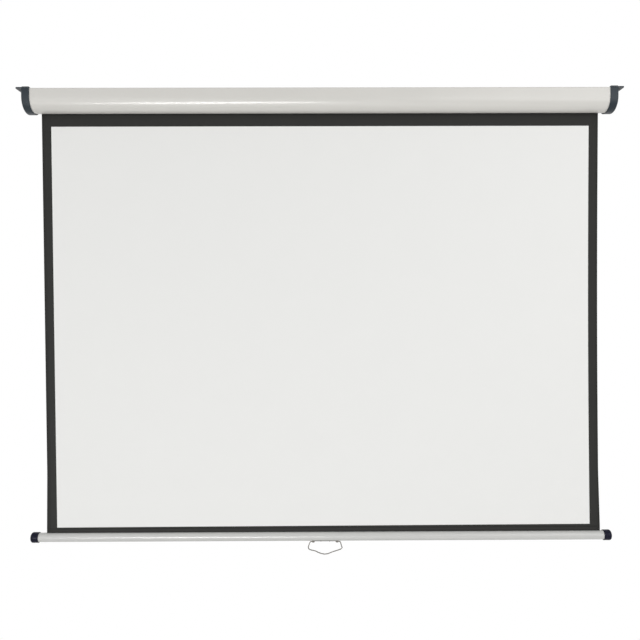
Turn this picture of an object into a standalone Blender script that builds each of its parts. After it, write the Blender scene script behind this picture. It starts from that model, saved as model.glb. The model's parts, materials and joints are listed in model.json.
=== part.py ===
"""A manual pull-down projector screen, fully pulled down.

Frame: X runs along the screen to the viewer's right, Y runs from the viewer to the wall, Z is up.
The origin is the middle of the case's flat back, on the wall, at the height of the roller's axis.
All sizes are in metres.
"""

import math

import bmesh
import bpy

# Fit between neighbouring pieces
CLEARANCE = 0.0003

# Screen fabric
FABRIC_WIDTH = 1.500
FABRIC_THICKNESS = 0.0005
FABRIC_DROP = 1.1630
ROLLED_THICKNESS = 0.0008

# Roller
ROLLER_DEPTH = 0.038
TUBE_RADIUS = 0.018
TUBE_WALL = 0.001
ROLLER_END_SPACE = 0.0101
PLUG_LENGTH = 0.025
PLUG_FLANGE = 0.003
PLUG_FLANGE_RADIUS = 0.0172

# Case, a D-shaped section of sheet steel
CASE_DEPTH = 0.064
CASE_TOP = 0.026
CASE_BOTTOM = 0.032
CASE_WALL = 0.001
FRONT_ARC_RADIUS = 0.034
REAR_ARC_RADIUS = 0.026
TOP_CORNER_RADIUS = 0.003
SLOT_FRONT_DEPTH = 0.026
SLOT_REAR_DEPTH = 0.0125
LIP_RETURN = 0.004

# End caps
CASE_OVERHANG = 0.035
CAP_WALL = 0.004
CAP_WIDTH = 0.0215
SKIRT_WALL = 0.002
CAP_EDGE_ROUND = 0.0036
CAP_ROUND_STEPS = 3
EAR_REACH = 0.016
EAR_THICKNESS = 0.0033
EAR_BELOW_PAD = 0.0016
EAR_SETBACK = 0.004
EAR_INNER_STEP = 0.001
EAR_CORNER = 0.003
EAR_CORNER_STEPS = 3
PAD_ROUND = 0.0016
WALL_EAR_DROP = 0.012
EAR_HOLE_RADIUS = 0.0026
CEILING_HOLE_INSET = 0.014

# Brackets and their screws
BRACKET_THICKNESS = 0.002
FLANGE_LENGTH = 0.014
FLANGE_WIDTH = 0.020
BRACKET_SCREW_DEPTH_OFFSET = 0.019
BRACKET_SCREW_HEIGHT_OFFSET = 0.016
SCREW_RADIUS = 0.0018
SCREW_LENGTH = 0.009
SCREW_HEAD_RADIUS = 0.0034
SCREW_HEAD_HEIGHT = 0.0022
PAN_CROWN_SHARE = 0.7
PAN_RIM_SHARE = 0.5
DRIVE_RADIUS = 0.0014
DRIVE_DEPTH = 0.0012
CASE_SCREW_LENGTH = 0.010
CASE_SCREW_INSET = 0.013

# Idle pin and bush
PIN_RADIUS = 0.004
PIN_GRIP = 0.020
BUSH_WALL = 0.002
BUSH_FLANGE_RADIUS = 0.008
BUSH_FLANGE = 0.0015

# Spindle, ratchet and spring
SPINDLE_RADIUS = 0.004
SPINDLE_LENGTH = 0.455
TANG_LENGTH = 0.006
TANG_THICKNESS = 0.003
RATCHET_RADIUS = 0.0075
RATCHET_THICKNESS = 0.0044
NOTCH_DEPTH = 0.0025
NOTCH_ANGLE = 34.0
CLIP_RADIUS = 0.0068
CLIP_THICKNESS = 0.0012
COLLAR_LENGTH = 0.010
SPRING_RADIUS = 0.0112
SPRING_WIRE_RADIUS = 0.0009
SPRING_TURNS = 16
SPRING_STEPS = 12
ANCHOR_LENGTH = 0.022
ANCHOR_NOSE = 0.011

# Pawls
PAWL_PIVOT_RADIUS = 0.013
PAWL_LENGTH = 0.009
PAWL_THICKNESS = 0.004
PAWL_EYE_RADIUS = 0.0032
PAWL_NOSE_RADIUS = 0.0015
PAWL_RUNNING_GAP = 0.0005
PAWL_PIN_RADIUS = 0.0014
PAWL_PIN_SEAT = 0.008
PAWL_PIN_HEAD_RADIUS = 0.0028
PAWL_PIN_HEAD = 0.0012

# Bottom bar
BAR_RADIUS = 0.0122
BAR_WALL = 0.0012
BAR_OVERHANG = 0.0392
BAR_SLOT_WIDTH = 0.003
BAR_FLAT_WIDTH = 0.010
BAR_CAP_RADIUS = 0.0141
BAR_CAP_LENGTH = 0.022
BAR_CAP_END = 0.008
BAR_CAP_ROUND = 0.0055
HEM_ROD_RADIUS = 0.003
HEM_WALL = 0.0010

# Handle
HANDLE_OFFSET = 0.0095
HANDLE_PLATE_LENGTH = 0.073
HANDLE_PLATE_WIDTH = 0.010
HANDLE_PLATE_THICKNESS = 0.0012
EYELET_RADIUS = 0.00275
EYELET_LENGTH = 0.006
EYELET_SPACING = 0.065
EYELET_SINK = 0.0006
WIRE_RADIUS = 0.0013
HANDLE_SCREW_SPACING = 0.024
HANDLE_SCREW_RADIUS = 0.0014
HANDLE_SCREW_LENGTH = 0.0045
HANDLE_SCREW_HEAD_RADIUS = 0.0026
HANDLE_SCREW_HEAD = 0.0014
HANDLE_WIDTH = 0.094
HANDLE_DROP = 0.0365

HANDLE_CURVE_STEPS = 4
# Each point of the bail's right half: share of its half width, share of its drop
HANDLE_CURVE = (
    (1.00, 0.42),
    (0.99, 0.56),
    (0.90, 0.68),
    (0.74, 0.72),
    (0.58, 0.77),
    (0.36, 0.88),
    (0.18, 0.97),
    (0.00, 1.00),
)

# How far a flat facet may lie inside the true round, and how close points are welded
FACET_DEPTH = 0.00008
FEWEST_FACETS = 12
WELD_DISTANCE = 0.00001

# The sharpest angle that is still shaded as one smooth face
SMOOTH_ANGLE = 35.0
WIRE_SMOOTH_ANGLE = 60.0

# Colours and surfaces: base colour (linear), roughness, metallic
FINISHES = {
    "case_paint": ((0.64, 0.62, 0.59), 0.45, 0.0),
    "dark_plastic": ((0.040, 0.053, 0.070), 0.42, 0.0),
    "zinc_steel": ((0.55, 0.56, 0.57), 0.38, 1.0),
    "black_steel": ((0.05, 0.05, 0.05), 0.5, 1.0),
    "nylon": ((0.80, 0.79, 0.74), 0.5, 0.0),
    "spring_steel": ((0.20, 0.20, 0.21), 0.35, 1.0),
    "screen_white": ((0.79, 0.80, 0.80), 0.85, 0.0),
    "bar_paint": ((0.58, 0.58, 0.57), 0.40, 0.0),
    "navy_plastic": ((0.010, 0.012, 0.035), 0.35, 0.0),
    "handle_steel": ((0.45, 0.44, 0.42), 0.40, 1.0),
}

# Lengths that follow from the fabric's width, and places that several pieces share
LENGTH_OVER_CAPS = FABRIC_WIDTH + 2 * CASE_OVERHANG
BAR_LENGTH_OVER_CAPS = FABRIC_WIDTH + 2 * BAR_OVERHANG
CASE_HALF = LENGTH_OVER_CAPS / 2 - CAP_WALL - CLEARANCE
BRACKET_FACE = CASE_HALF - CLEARANCE
PLUG_FACE = BRACKET_FACE - BRACKET_THICKNESS - ROLLER_END_SPACE
TUBE_HALF = PLUG_FACE - PLUG_FLANGE - CLEARANCE
CEILING_HEIGHT = CASE_TOP + 2 * CLEARANCE + EAR_THICKNESS
ROLL_RADIUS = TUBE_RADIUS + CLEARANCE + ROLLED_THICKNESS
FABRIC_FRONT = -ROLLER_DEPTH + ROLL_RADIUS + CLEARANCE
FABRIC_MIDDLE = FABRIC_FRONT + FABRIC_THICKNESS / 2
BAR_HALF = BAR_LENGTH_OVER_CAPS / 2 - BAR_CAP_END - CLEARANCE
BAR_HEIGHT = -FABRIC_DROP - BAR_RADIUS
FLAT_DEPTH = math.sqrt(BAR_RADIUS ** 2 - (BAR_FLAT_WIDTH / 2) ** 2)
FLAT_HEIGHT = BAR_HEIGHT - FLAT_DEPTH
HANDLE_PLATE_HEIGHT = FLAT_HEIGHT - CLEARANCE - HANDLE_PLATE_THICKNESS / 2
PIVOT_HEIGHT = FLAT_HEIGHT - CLEARANCE - HANDLE_PLATE_THICKNESS - EYELET_RADIUS + EYELET_SINK

# Turns that carry a local frame to the world
LOCAL_Z_TO_X = (0.0, math.pi / 2, 0.0)
LOCAL_Z_TO_MINUS_X = (0.0, -math.pi / 2, 0.0)
SECTION_PLANE = (math.pi / 2, 0.0, math.pi / 2)
FRONT_PLANE = (math.pi / 2, 0.0, 0.0)
FLOOR_PLANE = (0.0, 0.0, 0.0)


def new_collection(name):
    """A collection in the scene."""
    collection = bpy.data.collections.new(name)
    bpy.context.scene.collection.children.link(collection)
    return collection


def clear_scene():
    """Remove whatever objects the file opened with."""
    for item in list(bpy.data.objects):
        bpy.data.objects.remove(item, do_unlink=True)


clear_scene()
SCREEN = new_collection("projector_screen")
CUTTERS = new_collection("cutters")


def finish(part, finish_name, smooth_angle=SMOOTH_ANGLE):
    """Give a part its own material and shade its round faces smooth."""
    colour, roughness, metallic = FINISHES[finish_name]
    material = bpy.data.materials.new(part.name + "_" + finish_name)
    material.use_nodes = True
    shader = material.node_tree.nodes["Principled BSDF"]
    shader.inputs["Base Color"].default_value = (*colour, 1.0)
    shader.inputs["Roughness"].default_value = roughness
    shader.inputs["Metallic"].default_value = metallic
    part.data.materials.clear()
    part.data.materials.append(material)
    part.data.shade_smooth()
    part.data.set_sharp_from_angle(angle=math.radians(smooth_angle))
    return part


def as_mesh(curve_object):
    """Replace a curve object by a welded mesh object in the same place."""
    SCREEN.objects.link(curve_object)
    bpy.context.view_layer.update()
    graph = bpy.context.evaluated_depsgraph_get()
    mesh = bpy.data.meshes.new_from_object(curve_object.evaluated_get(graph))
    solid = bmesh.new()
    solid.from_mesh(mesh)
    bmesh.ops.remove_doubles(solid, verts=solid.verts, dist=WELD_DISTANCE)
    bmesh.ops.recalc_face_normals(solid, faces=solid.faces)
    solid.to_mesh(mesh)
    solid.free()
    name = curve_object.name
    matrix = curve_object.matrix_world.copy()
    bpy.data.objects.remove(curve_object, do_unlink=True)
    mesh.name = name
    part = bpy.data.objects.new(name, mesh)
    part.matrix_world = matrix
    SCREEN.objects.link(part)
    return part


def plate(name, loops, thickness, centre, plane=SECTION_PLANE):
    """A flat outline, with any holes as further loops, given a thickness about its centre."""
    curve = bpy.data.curves.new(name, "CURVE")
    curve.dimensions = "2D"
    curve.fill_mode = "BOTH"
    curve.extrude = thickness / 2
    for loop in loops:
        spline = curve.splines.new("POLY")
        spline.points.add(len(loop) - 1)
        spline.use_cyclic_u = True
        for point, (across, up) in zip(spline.points, loop):
            point.co = (across, up, 0.0, 1.0)
    part = bpy.data.objects.new(name, curve)
    part.location = centre
    part.rotation_euler = plane
    return as_mesh(part)


def facets(radius):
    """How many flats a full round of this radius needs, a multiple of four."""
    flat_angle = 2 * math.acos(1 - FACET_DEPTH / radius)
    return max(FEWEST_FACETS, 4 * math.ceil(math.pi / (2 * flat_angle)))


def turned(name, profile, centre, turn, closed=False):
    """A profile of (radius, height) points, outer side from top to bottom, turned about its axis."""
    steps = facets(max(radius for radius, height in profile))
    mesh = bpy.data.meshes.new(name)
    points = [(radius, 0.0, height) for radius, height in profile]
    edges = [(index, index + 1) for index in range(len(points) - 1)]
    if closed:
        edges.append((len(points) - 1, 0))
    mesh.from_pydata(points, edges, [])
    part = bpy.data.objects.new(name, mesh)
    part.location = centre
    part.rotation_euler = turn
    SCREEN.objects.link(part)
    screw = part.modifiers.new("turn", "SCREW")
    screw.steps = steps
    screw.render_steps = steps
    screw.use_merge_vertices = True
    screw.merge_threshold = WELD_DISTANCE
    return part


def ring(name, outer, inner, length, centre, turn):
    """A plain bushing: a tube wall turned about its axis."""
    half = length / 2
    profile = [(outer, half), (outer, -half), (inner, -half), (inner, half)]
    return turned(name, profile, centre, turn, closed=True)


def wire(name, points, radius, sides=2):
    """A round wire along a chain of points."""
    curve = bpy.data.curves.new(name, "CURVE")
    curve.dimensions = "3D"
    curve.bevel_depth = radius
    curve.bevel_resolution = sides
    curve.use_fill_caps = True
    spline = curve.splines.new("POLY")
    spline.points.add(len(points) - 1)
    for point, place in zip(spline.points, points):
        point.co = (*place, 1.0)
    return bpy.data.objects.new(name, curve)


def box(name, low, high):
    """A rectangular block between two corners."""
    mesh = bpy.data.meshes.new(name)
    solid = bmesh.new()
    bmesh.ops.create_cube(solid, size=1.0)
    for vertex in solid.verts:
        for axis in range(3):
            middle = (low[axis] + high[axis]) / 2
            vertex.co[axis] = middle + vertex.co[axis] * (high[axis] - low[axis])
    solid.to_mesh(mesh)
    solid.free()
    part = bpy.data.objects.new(name, mesh)
    SCREEN.objects.link(part)
    return part


def as_tool(item):
    """Move an object to the cutters, where it only shapes other parts."""
    SCREEN.objects.unlink(item)
    CUTTERS.objects.link(item)
    item.hide_render = True
    item.display_type = "WIRE"
    return item


def combine(part, tool, operation):
    """Cut a tool from a part, or join it on."""
    modifier = part.modifiers.new(operation.lower(), "BOOLEAN")
    modifier.operation = operation
    modifier.solver = "EXACT"
    modifier.object = as_tool(tool)
    return part


def arc(centre, radius, start, end, count=0):
    """Points along an arc, with angles in degrees, in a given count of flats or as many as it needs."""
    count = count or max(2, math.ceil(facets(radius) * abs(end - start) / 360))
    points = []
    for step in range(count + 1):
        angle = math.radians(start + (end - start) * step / count)
        points.append((centre[0] + radius * math.cos(angle), centre[1] + radius * math.sin(angle)))
    return points


def circle(centre, radius):
    """A closed ring of points."""
    steps = facets(radius)
    points = []
    for step in range(steps):
        angle = 2 * math.pi * step / steps
        points.append((centre[0] + radius * math.cos(angle), centre[1] + radius * math.sin(angle)))
    return points


def rectangle(low, high):
    """The four corners of an upright rectangle."""
    return [(low[0], low[1]), (high[0], low[1]), (high[0], high[1]), (low[0], high[1])]


FRONT_ARC = (-CASE_DEPTH + FRONT_ARC_RADIUS, -CASE_BOTTOM + FRONT_ARC_RADIUS)
REAR_ARC = (-REAR_ARC_RADIUS, -CASE_BOTTOM + REAR_ARC_RADIUS)
TOP_CORNER = (-CASE_DEPTH + TOP_CORNER_RADIUS, CASE_TOP - TOP_CORNER_RADIUS)


def case_outline(grow, back):
    """The closed section of the case, grown outwards, and ended at a flat back."""
    rear_radius = REAR_ARC_RADIUS + grow
    reach = back - REAR_ARC[0]
    end = 0.0 if reach >= rear_radius else -math.degrees(math.acos(reach / rear_radius))
    points = arc(TOP_CORNER, TOP_CORNER_RADIUS + grow, 90.0, 180.0, facets(TOP_CORNER_RADIUS) // 4)
    points += arc(FRONT_ARC, FRONT_ARC_RADIUS + grow, 180.0, 270.0, facets(FRONT_ARC_RADIUS) // 4)
    points += arc(REAR_ARC, rear_radius, -90.0, end, facets(REAR_ARC_RADIUS) // 4)
    points.append((back, REAR_ARC[1] + REAR_ARC_RADIUS / 2))
    corner = TOP_CORNER_RADIUS + grow
    points += arc((back - corner, TOP_CORNER[1]), corner, 0.0, 90.0, facets(TOP_CORNER_RADIUS) // 4)
    return points


def build_case_shell():
    """Sheet steel bent round the roller, open along a slot behind its front lip."""
    slot_angle = -math.degrees(math.acos((-SLOT_REAR_DEPTH - REAR_ARC[0]) / REAR_ARC_RADIUS))
    path = [(-SLOT_FRONT_DEPTH, -CASE_BOTTOM + LIP_RETURN), (-SLOT_FRONT_DEPTH, -CASE_BOTTOM)]
    path += arc(FRONT_ARC, FRONT_ARC_RADIUS, 270.0, 180.0)
    path += arc(TOP_CORNER, TOP_CORNER_RADIUS, 180.0, 90.0)
    back_corner = (-TOP_CORNER_RADIUS, CASE_TOP - TOP_CORNER_RADIUS)
    path += arc(back_corner, TOP_CORNER_RADIUS, 90.0, 0.0)
    path += arc(REAR_ARC, REAR_ARC_RADIUS, 0.0, slot_angle)
    curve = bpy.data.curves.new("case_shell", "CURVE")
    curve.dimensions = "2D"
    curve.extrude = CASE_HALF
    spline = curve.splines.new("POLY")
    spline.points.add(len(path) - 1)
    for point, (across, up) in zip(spline.points, path):
        point.co = (across, up, 0.0, 1.0)
    shell = bpy.data.objects.new("case_shell", curve)
    shell.rotation_euler = SECTION_PLANE
    shell = as_mesh(shell)
    wall = shell.modifiers.new("wall", "SOLIDIFY")
    wall.thickness = CASE_WALL
    wall.offset = -1.0
    wall.use_even_offset = True
    for side in (-1, 1):
        cut_case_screw_hole(shell, side, SCREW_RADIUS + CLEARANCE)
    return finish(shell, "case_paint")


def case_screw_place(side):
    """Where the countersunk screw goes down through cap, case and bracket."""
    return side * (LENGTH_OVER_CAPS / 2 - CASE_SCREW_INSET), -ROLLER_DEPTH


def cut_case_screw_hole(part, side, radius):
    """A plain hole down through the top at the case screw."""
    across, depth = case_screw_place(side)
    tool = upright_cylinder(part.name + "_screw_hole", radius, 0.0, 2 * CASE_TOP, (across, depth))
    return combine(part, tool, "DIFFERENCE")


def upright_cylinder(name, radius, low, high, place):
    """A solid cylinder along Z."""
    profile = [(0.0, high - low), (radius, high - low), (radius, 0.0), (0.0, 0.0)]
    return turned(name, profile, (place[0], place[1], low), FLOOR_PLANE)


def cross_cylinder(name, radius, start, end, place):
    """A solid cylinder along X from start to end, at a place in the section plane."""
    length = end - start
    profile = [(0.0, length), (radius, length), (radius, 0.0), (0.0, 0.0)]
    return turned(name, profile, (start, place[0], place[1]), LOCAL_Z_TO_X)


def side_name(side):
    """Left or right as the viewer sees it."""
    return "right" if side > 0 else "left"


def bracket_screw_places():
    """Places of the two screws through each end, in the section plane."""
    places = []
    for sign in (-1, 1):
        depth = -ROLLER_DEPTH + sign * BRACKET_SCREW_DEPTH_OFFSET
        places.append((depth, -sign * BRACKET_SCREW_HEIGHT_OFFSET))
    return places


def build_end_cap(side):
    """A moulded cap with a skirt over the case's end, a ceiling plate and a wall plate."""
    name = side_name(side) + "_end_cap"
    cap = build_cap_body(name, side)
    add_mounting_plates(cap, side)
    pocket_middle = side * (LENGTH_OVER_CAPS / 2 - CAP_WALL - CAP_WIDTH / 2)
    outline = case_outline(CLEARANCE, SKIRT_WALL)
    pocket = plate(name + "_pocket", [outline], CAP_WIDTH, (pocket_middle, 0.0, 0.0))
    combine(cap, pocket, "DIFFERENCE")
    cut_cap_holes(cap, side)
    return finish(cap, "dark_plastic")


def build_cap_body(name, side):
    """A loft of case sections that shrink towards the end face, which rounds the cap's rim."""
    outer = LENGTH_OVER_CAPS / 2
    sections = [(outer - CAP_WIDTH, SKIRT_WALL)]
    for step in range(CAP_ROUND_STEPS + 1):
        angle = math.pi / 2 * step / CAP_ROUND_STEPS
        across = outer - CAP_EDGE_ROUND * (1 - math.sin(angle))
        sections.append((across, SKIRT_WALL - CAP_EDGE_ROUND * (1 - math.cos(angle))))
    solid = bmesh.new()
    loops = []
    for across, grow in sections:
        loops.append([solid.verts.new((side * across, *place)) for place in case_outline(grow, -CLEARANCE)])
    for near, far in zip(loops, loops[1:]):
        for index in range(len(near)):
            after = (index + 1) % len(near)
            solid.faces.new((near[index], near[after], far[after], far[index]))
    solid.faces.new(loops[0])
    solid.faces.new(loops[-1])
    bmesh.ops.triangulate(solid, faces=solid.faces)
    bmesh.ops.recalc_face_normals(solid, faces=solid.faces)
    mesh = bpy.data.meshes.new(name)
    solid.to_mesh(mesh)
    solid.free()
    cap = bpy.data.objects.new(name, mesh)
    SCREEN.objects.link(cap)
    return cap


def mounting_plate_ends(side):
    """The inner and outer ends of the mounting plates, and their front edge."""
    outer = LENGTH_OVER_CAPS / 2
    inner_end = outer - CAP_WIDTH + EAR_INNER_STEP
    return side * inner_end, side * (outer + EAR_REACH), -CASE_DEPTH - SKIRT_WALL + EAR_SETBACK


def add_mounting_plates(cap, side):
    """Join on an angle whose plates take the screws, and the pad above it that meets a ceiling."""
    inner_end, ear_end, front = mounting_plate_ends(side)
    top = CEILING_HEIGHT - EAR_BELOW_PAD
    low = top - EAR_THICKNESS
    outline = [
        (front, low),
        (-EAR_THICKNESS, low),
        (-EAR_THICKNESS, -WALL_EAR_DROP),
        (0.0, -WALL_EAR_DROP),
        (0.0, top),
        (front, top),
    ]
    length = abs(ear_end - inner_end)
    angle = plate(cap.name + "_ears", [outline], length, ((inner_end + ear_end) / 2, 0.0, 0.0))
    solid = bmesh.new()
    solid.from_mesh(angle.data)
    corner = []
    for edge in solid.edges:
        at_front = all(abs(vertex.co.x - front) < CLEARANCE for vertex in edge.verts)
        at_end = all(abs(vertex.co.z - side * length / 2) < CLEARANCE for vertex in edge.verts)
        if at_front and at_end:
            corner.append(edge)
    bmesh.ops.bevel(
        solid, geom=corner, offset=EAR_CORNER, segments=EAR_CORNER_STEPS, profile=0.5, affect="EDGES"
    )
    solid.to_mesh(angle.data)
    solid.free()
    drill_ears(angle, side)
    combine(cap, angle, "UNION")
    pad_depth = -front - CLEARANCE - EAR_CORNER
    pad_centre = (0.0, -EAR_CORNER - pad_depth / 2, 0.0)
    pad = plate(cap.name + "_pad", [pad_outline(side)], pad_depth, pad_centre, FRONT_PLANE)
    combine(cap, pad, "UNION")


def pad_outline(side):
    """The pad seen from the front: flat on top, with rounded shoulders, and rooted in the cap's skirt."""
    inset = side * CLEARANCE
    ends = sorted((mounting_plate_ends(side)[0] + inset, side * LENGTH_OVER_CAPS / 2 - inset))
    low = CASE_TOP + SKIRT_WALL / 2
    shoulder = CEILING_HEIGHT - PAD_ROUND
    steps = facets(PAD_ROUND) // 4
    points = [(ends[0], low), (ends[1], low)]
    points += arc((ends[1] - PAD_ROUND, shoulder), PAD_ROUND, 0.0, 90.0, steps)
    points += arc((ends[0] + PAD_ROUND, shoulder), PAD_ROUND, 90.0, 180.0, steps)
    return points


def drill_ears(angle, side):
    """The holes in the angle's ears: two for screws to the ceiling and one for a screw to the wall."""
    front = mounting_plate_ends(side)[2]
    ear_centre = side * (LENGTH_OVER_CAPS / 2 + EAR_REACH / 2)
    for number, depth in enumerate((front + CEILING_HOLE_INSET, -CEILING_HOLE_INSET)):
        hole_name = angle.name + "_ceiling_hole_" + str(number + 1)
        hole = upright_cylinder(hole_name, EAR_HOLE_RADIUS, 0.0, 2 * CASE_TOP, (ear_centre, depth))
        combine(angle, hole, "DIFFERENCE")
    reach = 2 * EAR_THICKNESS
    profile = [(0.0, reach), (EAR_HOLE_RADIUS, reach), (EAR_HOLE_RADIUS, -reach), (0.0, -reach)]
    wall_hole = turned(angle.name + "_wall_hole", profile, (ear_centre, 0.0, 0.0), FRONT_PLANE)
    combine(angle, wall_hole, "DIFFERENCE")


def cut_cap_holes(cap, side):
    """The holes for the screws to bracket and case."""
    outer = LENGTH_OVER_CAPS / 2
    for number, place in enumerate(bracket_screw_places()):
        hole_name = cap.name + "_bracket_hole_" + str(number + 1)
        start, end = sorted((side * (outer - 2 * CAP_WALL), side * (outer + CAP_WALL)))
        hole = cross_cylinder(hole_name, SCREW_RADIUS + CLEARANCE, start, end, place)
        combine(cap, hole, "DIFFERENCE")
    cut_case_screw_hole(cap, side, SCREW_RADIUS + CLEARANCE)
    sink_radius = SCREW_HEAD_RADIUS + CLEARANCE
    sink_depth = SCREW_HEAD_HEIGHT + CLEARANCE
    profile = [(0.0, CLEARANCE), (sink_radius, CLEARANCE), (SCREW_RADIUS, -sink_depth), (0.0, -sink_depth)]
    place = (*case_screw_place(side), CEILING_HEIGHT)
    sink = turned(cap.name + "_countersink", profile, place, FLOOR_PLANE)
    combine(cap, sink, "DIFFERENCE")


def build_bracket(side, name, hole):
    """A steel plate inside the case's end, with a flange under the case's top."""
    gap = CASE_WALL + CLEARANCE
    holes = [circle(place, SCREW_RADIUS + CLEARANCE) for place in bracket_screw_places()]
    loops = [case_outline(-gap, -gap), hole] + holes
    middle = side * (BRACKET_FACE - BRACKET_THICKNESS / 2)
    bracket = plate(name, loops, BRACKET_THICKNESS, (middle, 0.0, 0.0))
    across = sorted((side * (BRACKET_FACE - FLANGE_LENGTH), side * (BRACKET_FACE - BRACKET_THICKNESS / 2)))
    top = CASE_TOP - gap
    flange = box(
        name + "_flange",
        (across[0], -ROLLER_DEPTH - FLANGE_WIDTH / 2, top - BRACKET_THICKNESS),
        (across[1], -ROLLER_DEPTH + FLANGE_WIDTH / 2, top),
    )
    combine(bracket, flange, "UNION")
    floor = -CASE_BOTTOM + LIP_RETURN + CLEARANCE
    end = side * (BRACKET_FACE + FLANGE_LENGTH)
    below_lip = box(
        name + "_below_lip",
        (min(across[0], end), -2 * CASE_DEPTH, floor - CASE_DEPTH),
        (max(across[1], end), CASE_DEPTH, floor),
    )
    combine(bracket, below_lip, "DIFFERENCE")
    cut_case_screw_hole(bracket, side, SCREW_RADIUS + CLEARANCE)
    return finish(bracket, "zinc_steel")


def build_bracket_screws(side):
    """Pan-head screws through a cap's end face into its bracket."""
    for number, place in enumerate(bracket_screw_places()):
        name = side_name(side) + "_bracket_screw_" + str(number + 1)
        base = (side * (LENGTH_OVER_CAPS / 2 + CLEARANCE), place[0], place[1])
        turn = LOCAL_Z_TO_X if side > 0 else LOCAL_Z_TO_MINUS_X
        screw = pan_screw(name, base, turn, SCREW_RADIUS, SCREW_LENGTH, SCREW_HEAD_RADIUS, SCREW_HEAD_HEIGHT)
        finish(screw, "zinc_steel")


def pan_screw(name, base, turn, radius, length, head_radius, head_height):
    """A pan-head screw whose head sits above its base point and whose shank runs down from it."""
    drive = DRIVE_RADIUS * head_radius / SCREW_HEAD_RADIUS
    depth = DRIVE_DEPTH * head_height / SCREW_HEAD_HEIGHT
    profile = [
        (0.0, head_height - depth),
        (drive, head_height - depth),
        (drive, head_height),
        (head_radius * PAN_CROWN_SHARE, head_height),
        (head_radius, head_height * PAN_RIM_SHARE),
        (head_radius, 0.0),
        (radius, 0.0),
        (radius, -length + radius),
        (0.0, -length),
    ]
    return turned(name, profile, base, turn)


def build_case_screw(side):
    """A countersunk screw, flush with the top of the cap's pad."""
    across, depth = case_screw_place(side)
    profile = [
        (0.0, -DRIVE_DEPTH),
        (DRIVE_RADIUS, -DRIVE_DEPTH),
        (DRIVE_RADIUS, -CLEARANCE),
        (SCREW_HEAD_RADIUS - CLEARANCE, -CLEARANCE),
        (SCREW_RADIUS, -SCREW_HEAD_HEIGHT),
        (SCREW_RADIUS, -CASE_SCREW_LENGTH + SCREW_RADIUS),
        (0.0, -CASE_SCREW_LENGTH),
    ]
    name = side_name(side) + "_case_screw"
    screw = turned(name, profile, (across, depth, CEILING_HEIGHT), FLOOR_PLANE)
    return finish(screw, "zinc_steel")


def build_idle_bush():
    """A flanged nylon bush in the left bracket."""
    outer = PIN_RADIUS + CLEARANCE + BUSH_WALL
    inner = PIN_RADIUS + CLEARANCE
    face = -(BRACKET_FACE - BRACKET_THICKNESS) + CLEARANCE
    profile = [
        (BUSH_FLANGE_RADIUS, BUSH_FLANGE),
        (BUSH_FLANGE_RADIUS, 0.0),
        (outer, 0.0),
        (outer, -BRACKET_THICKNESS),
        (inner, -BRACKET_THICKNESS),
        (inner, BUSH_FLANGE),
    ]
    bush = turned("idle_bush", profile, (face, -ROLLER_DEPTH, 0.0), LOCAL_Z_TO_X, closed=True)
    return finish(bush, "nylon")


def build_roller():
    """The tube, its two end plugs, the idle pin and the fabric that stays wound on."""
    axis = (-ROLLER_DEPTH, 0.0)
    centre = (0.0, *axis)
    tube = ring("roller_tube", TUBE_RADIUS, TUBE_RADIUS - TUBE_WALL, 2 * TUBE_HALF, centre, LOCAL_Z_TO_X)
    finish(tube, "zinc_steel")
    wound = ring("fabric_roll", ROLL_RADIUS, TUBE_RADIUS + CLEARANCE, FABRIC_WIDTH, centre, LOCAL_Z_TO_X)
    finish(wound, "screen_white")
    body = TUBE_RADIUS - TUBE_WALL - CLEARANCE
    bore = PIN_RADIUS + CLEARANCE
    idle_profile = [
        (PLUG_FLANGE_RADIUS, PLUG_FACE),
        (PLUG_FLANGE_RADIUS, PLUG_FACE - PLUG_FLANGE),
        (body, PLUG_FACE - PLUG_FLANGE),
        (body, PLUG_FACE - PLUG_LENGTH),
        (0.0, PLUG_FACE - PLUG_LENGTH),
    ]
    socket = [(0.0, PLUG_FACE - PIN_GRIP), (bore, PLUG_FACE - PIN_GRIP), (bore, PLUG_FACE)]
    idle_plug = turned("idle_plug", socket + idle_profile, centre, LOCAL_Z_TO_MINUS_X)
    finish(idle_plug, "nylon")
    pin_start = PLUG_FACE - PIN_GRIP + CLEARANCE
    pin_profile = [
        (0.0, BRACKET_FACE),
        (PIN_RADIUS, BRACKET_FACE),
        (PIN_RADIUS, pin_start),
        (0.0, pin_start),
    ]
    pin = turned("idle_pin", pin_profile, centre, LOCAL_Z_TO_MINUS_X)
    finish(pin, "zinc_steel")
    spring_bore = SPINDLE_RADIUS + CLEARANCE
    spring_profile = [
        (spring_bore, PLUG_FACE),
        (PLUG_FLANGE_RADIUS, PLUG_FACE),
        (PLUG_FLANGE_RADIUS, PLUG_FACE - PLUG_FLANGE),
        (body, PLUG_FACE - PLUG_FLANGE),
        (body, PLUG_FACE - PLUG_LENGTH),
        (spring_bore, PLUG_FACE - PLUG_LENGTH),
    ]
    spring_plug = turned("spring_plug", spring_profile, centre, LOCAL_Z_TO_X, closed=True)
    seat_end = PLUG_FACE - PAWL_PIN_SEAT - CLEARANCE
    hole_radius = PAWL_PIN_RADIUS + CLEARANCE
    for number, place in enumerate(pawl_pivots()):
        hole_name = "pawl_pin_hole_" + str(number + 1)
        hole = cross_cylinder(hole_name, hole_radius, seat_end, PLUG_FACE + CLEARANCE, place)
        combine(spring_plug, hole, "DIFFERENCE")
    finish(spring_plug, "nylon")


def pawl_pivots():
    """Places of the two pawl pivots in the section plane."""
    return [
        (-ROLLER_DEPTH, PAWL_PIVOT_RADIUS),
        (-ROLLER_DEPTH, -PAWL_PIVOT_RADIUS),
    ]


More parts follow.
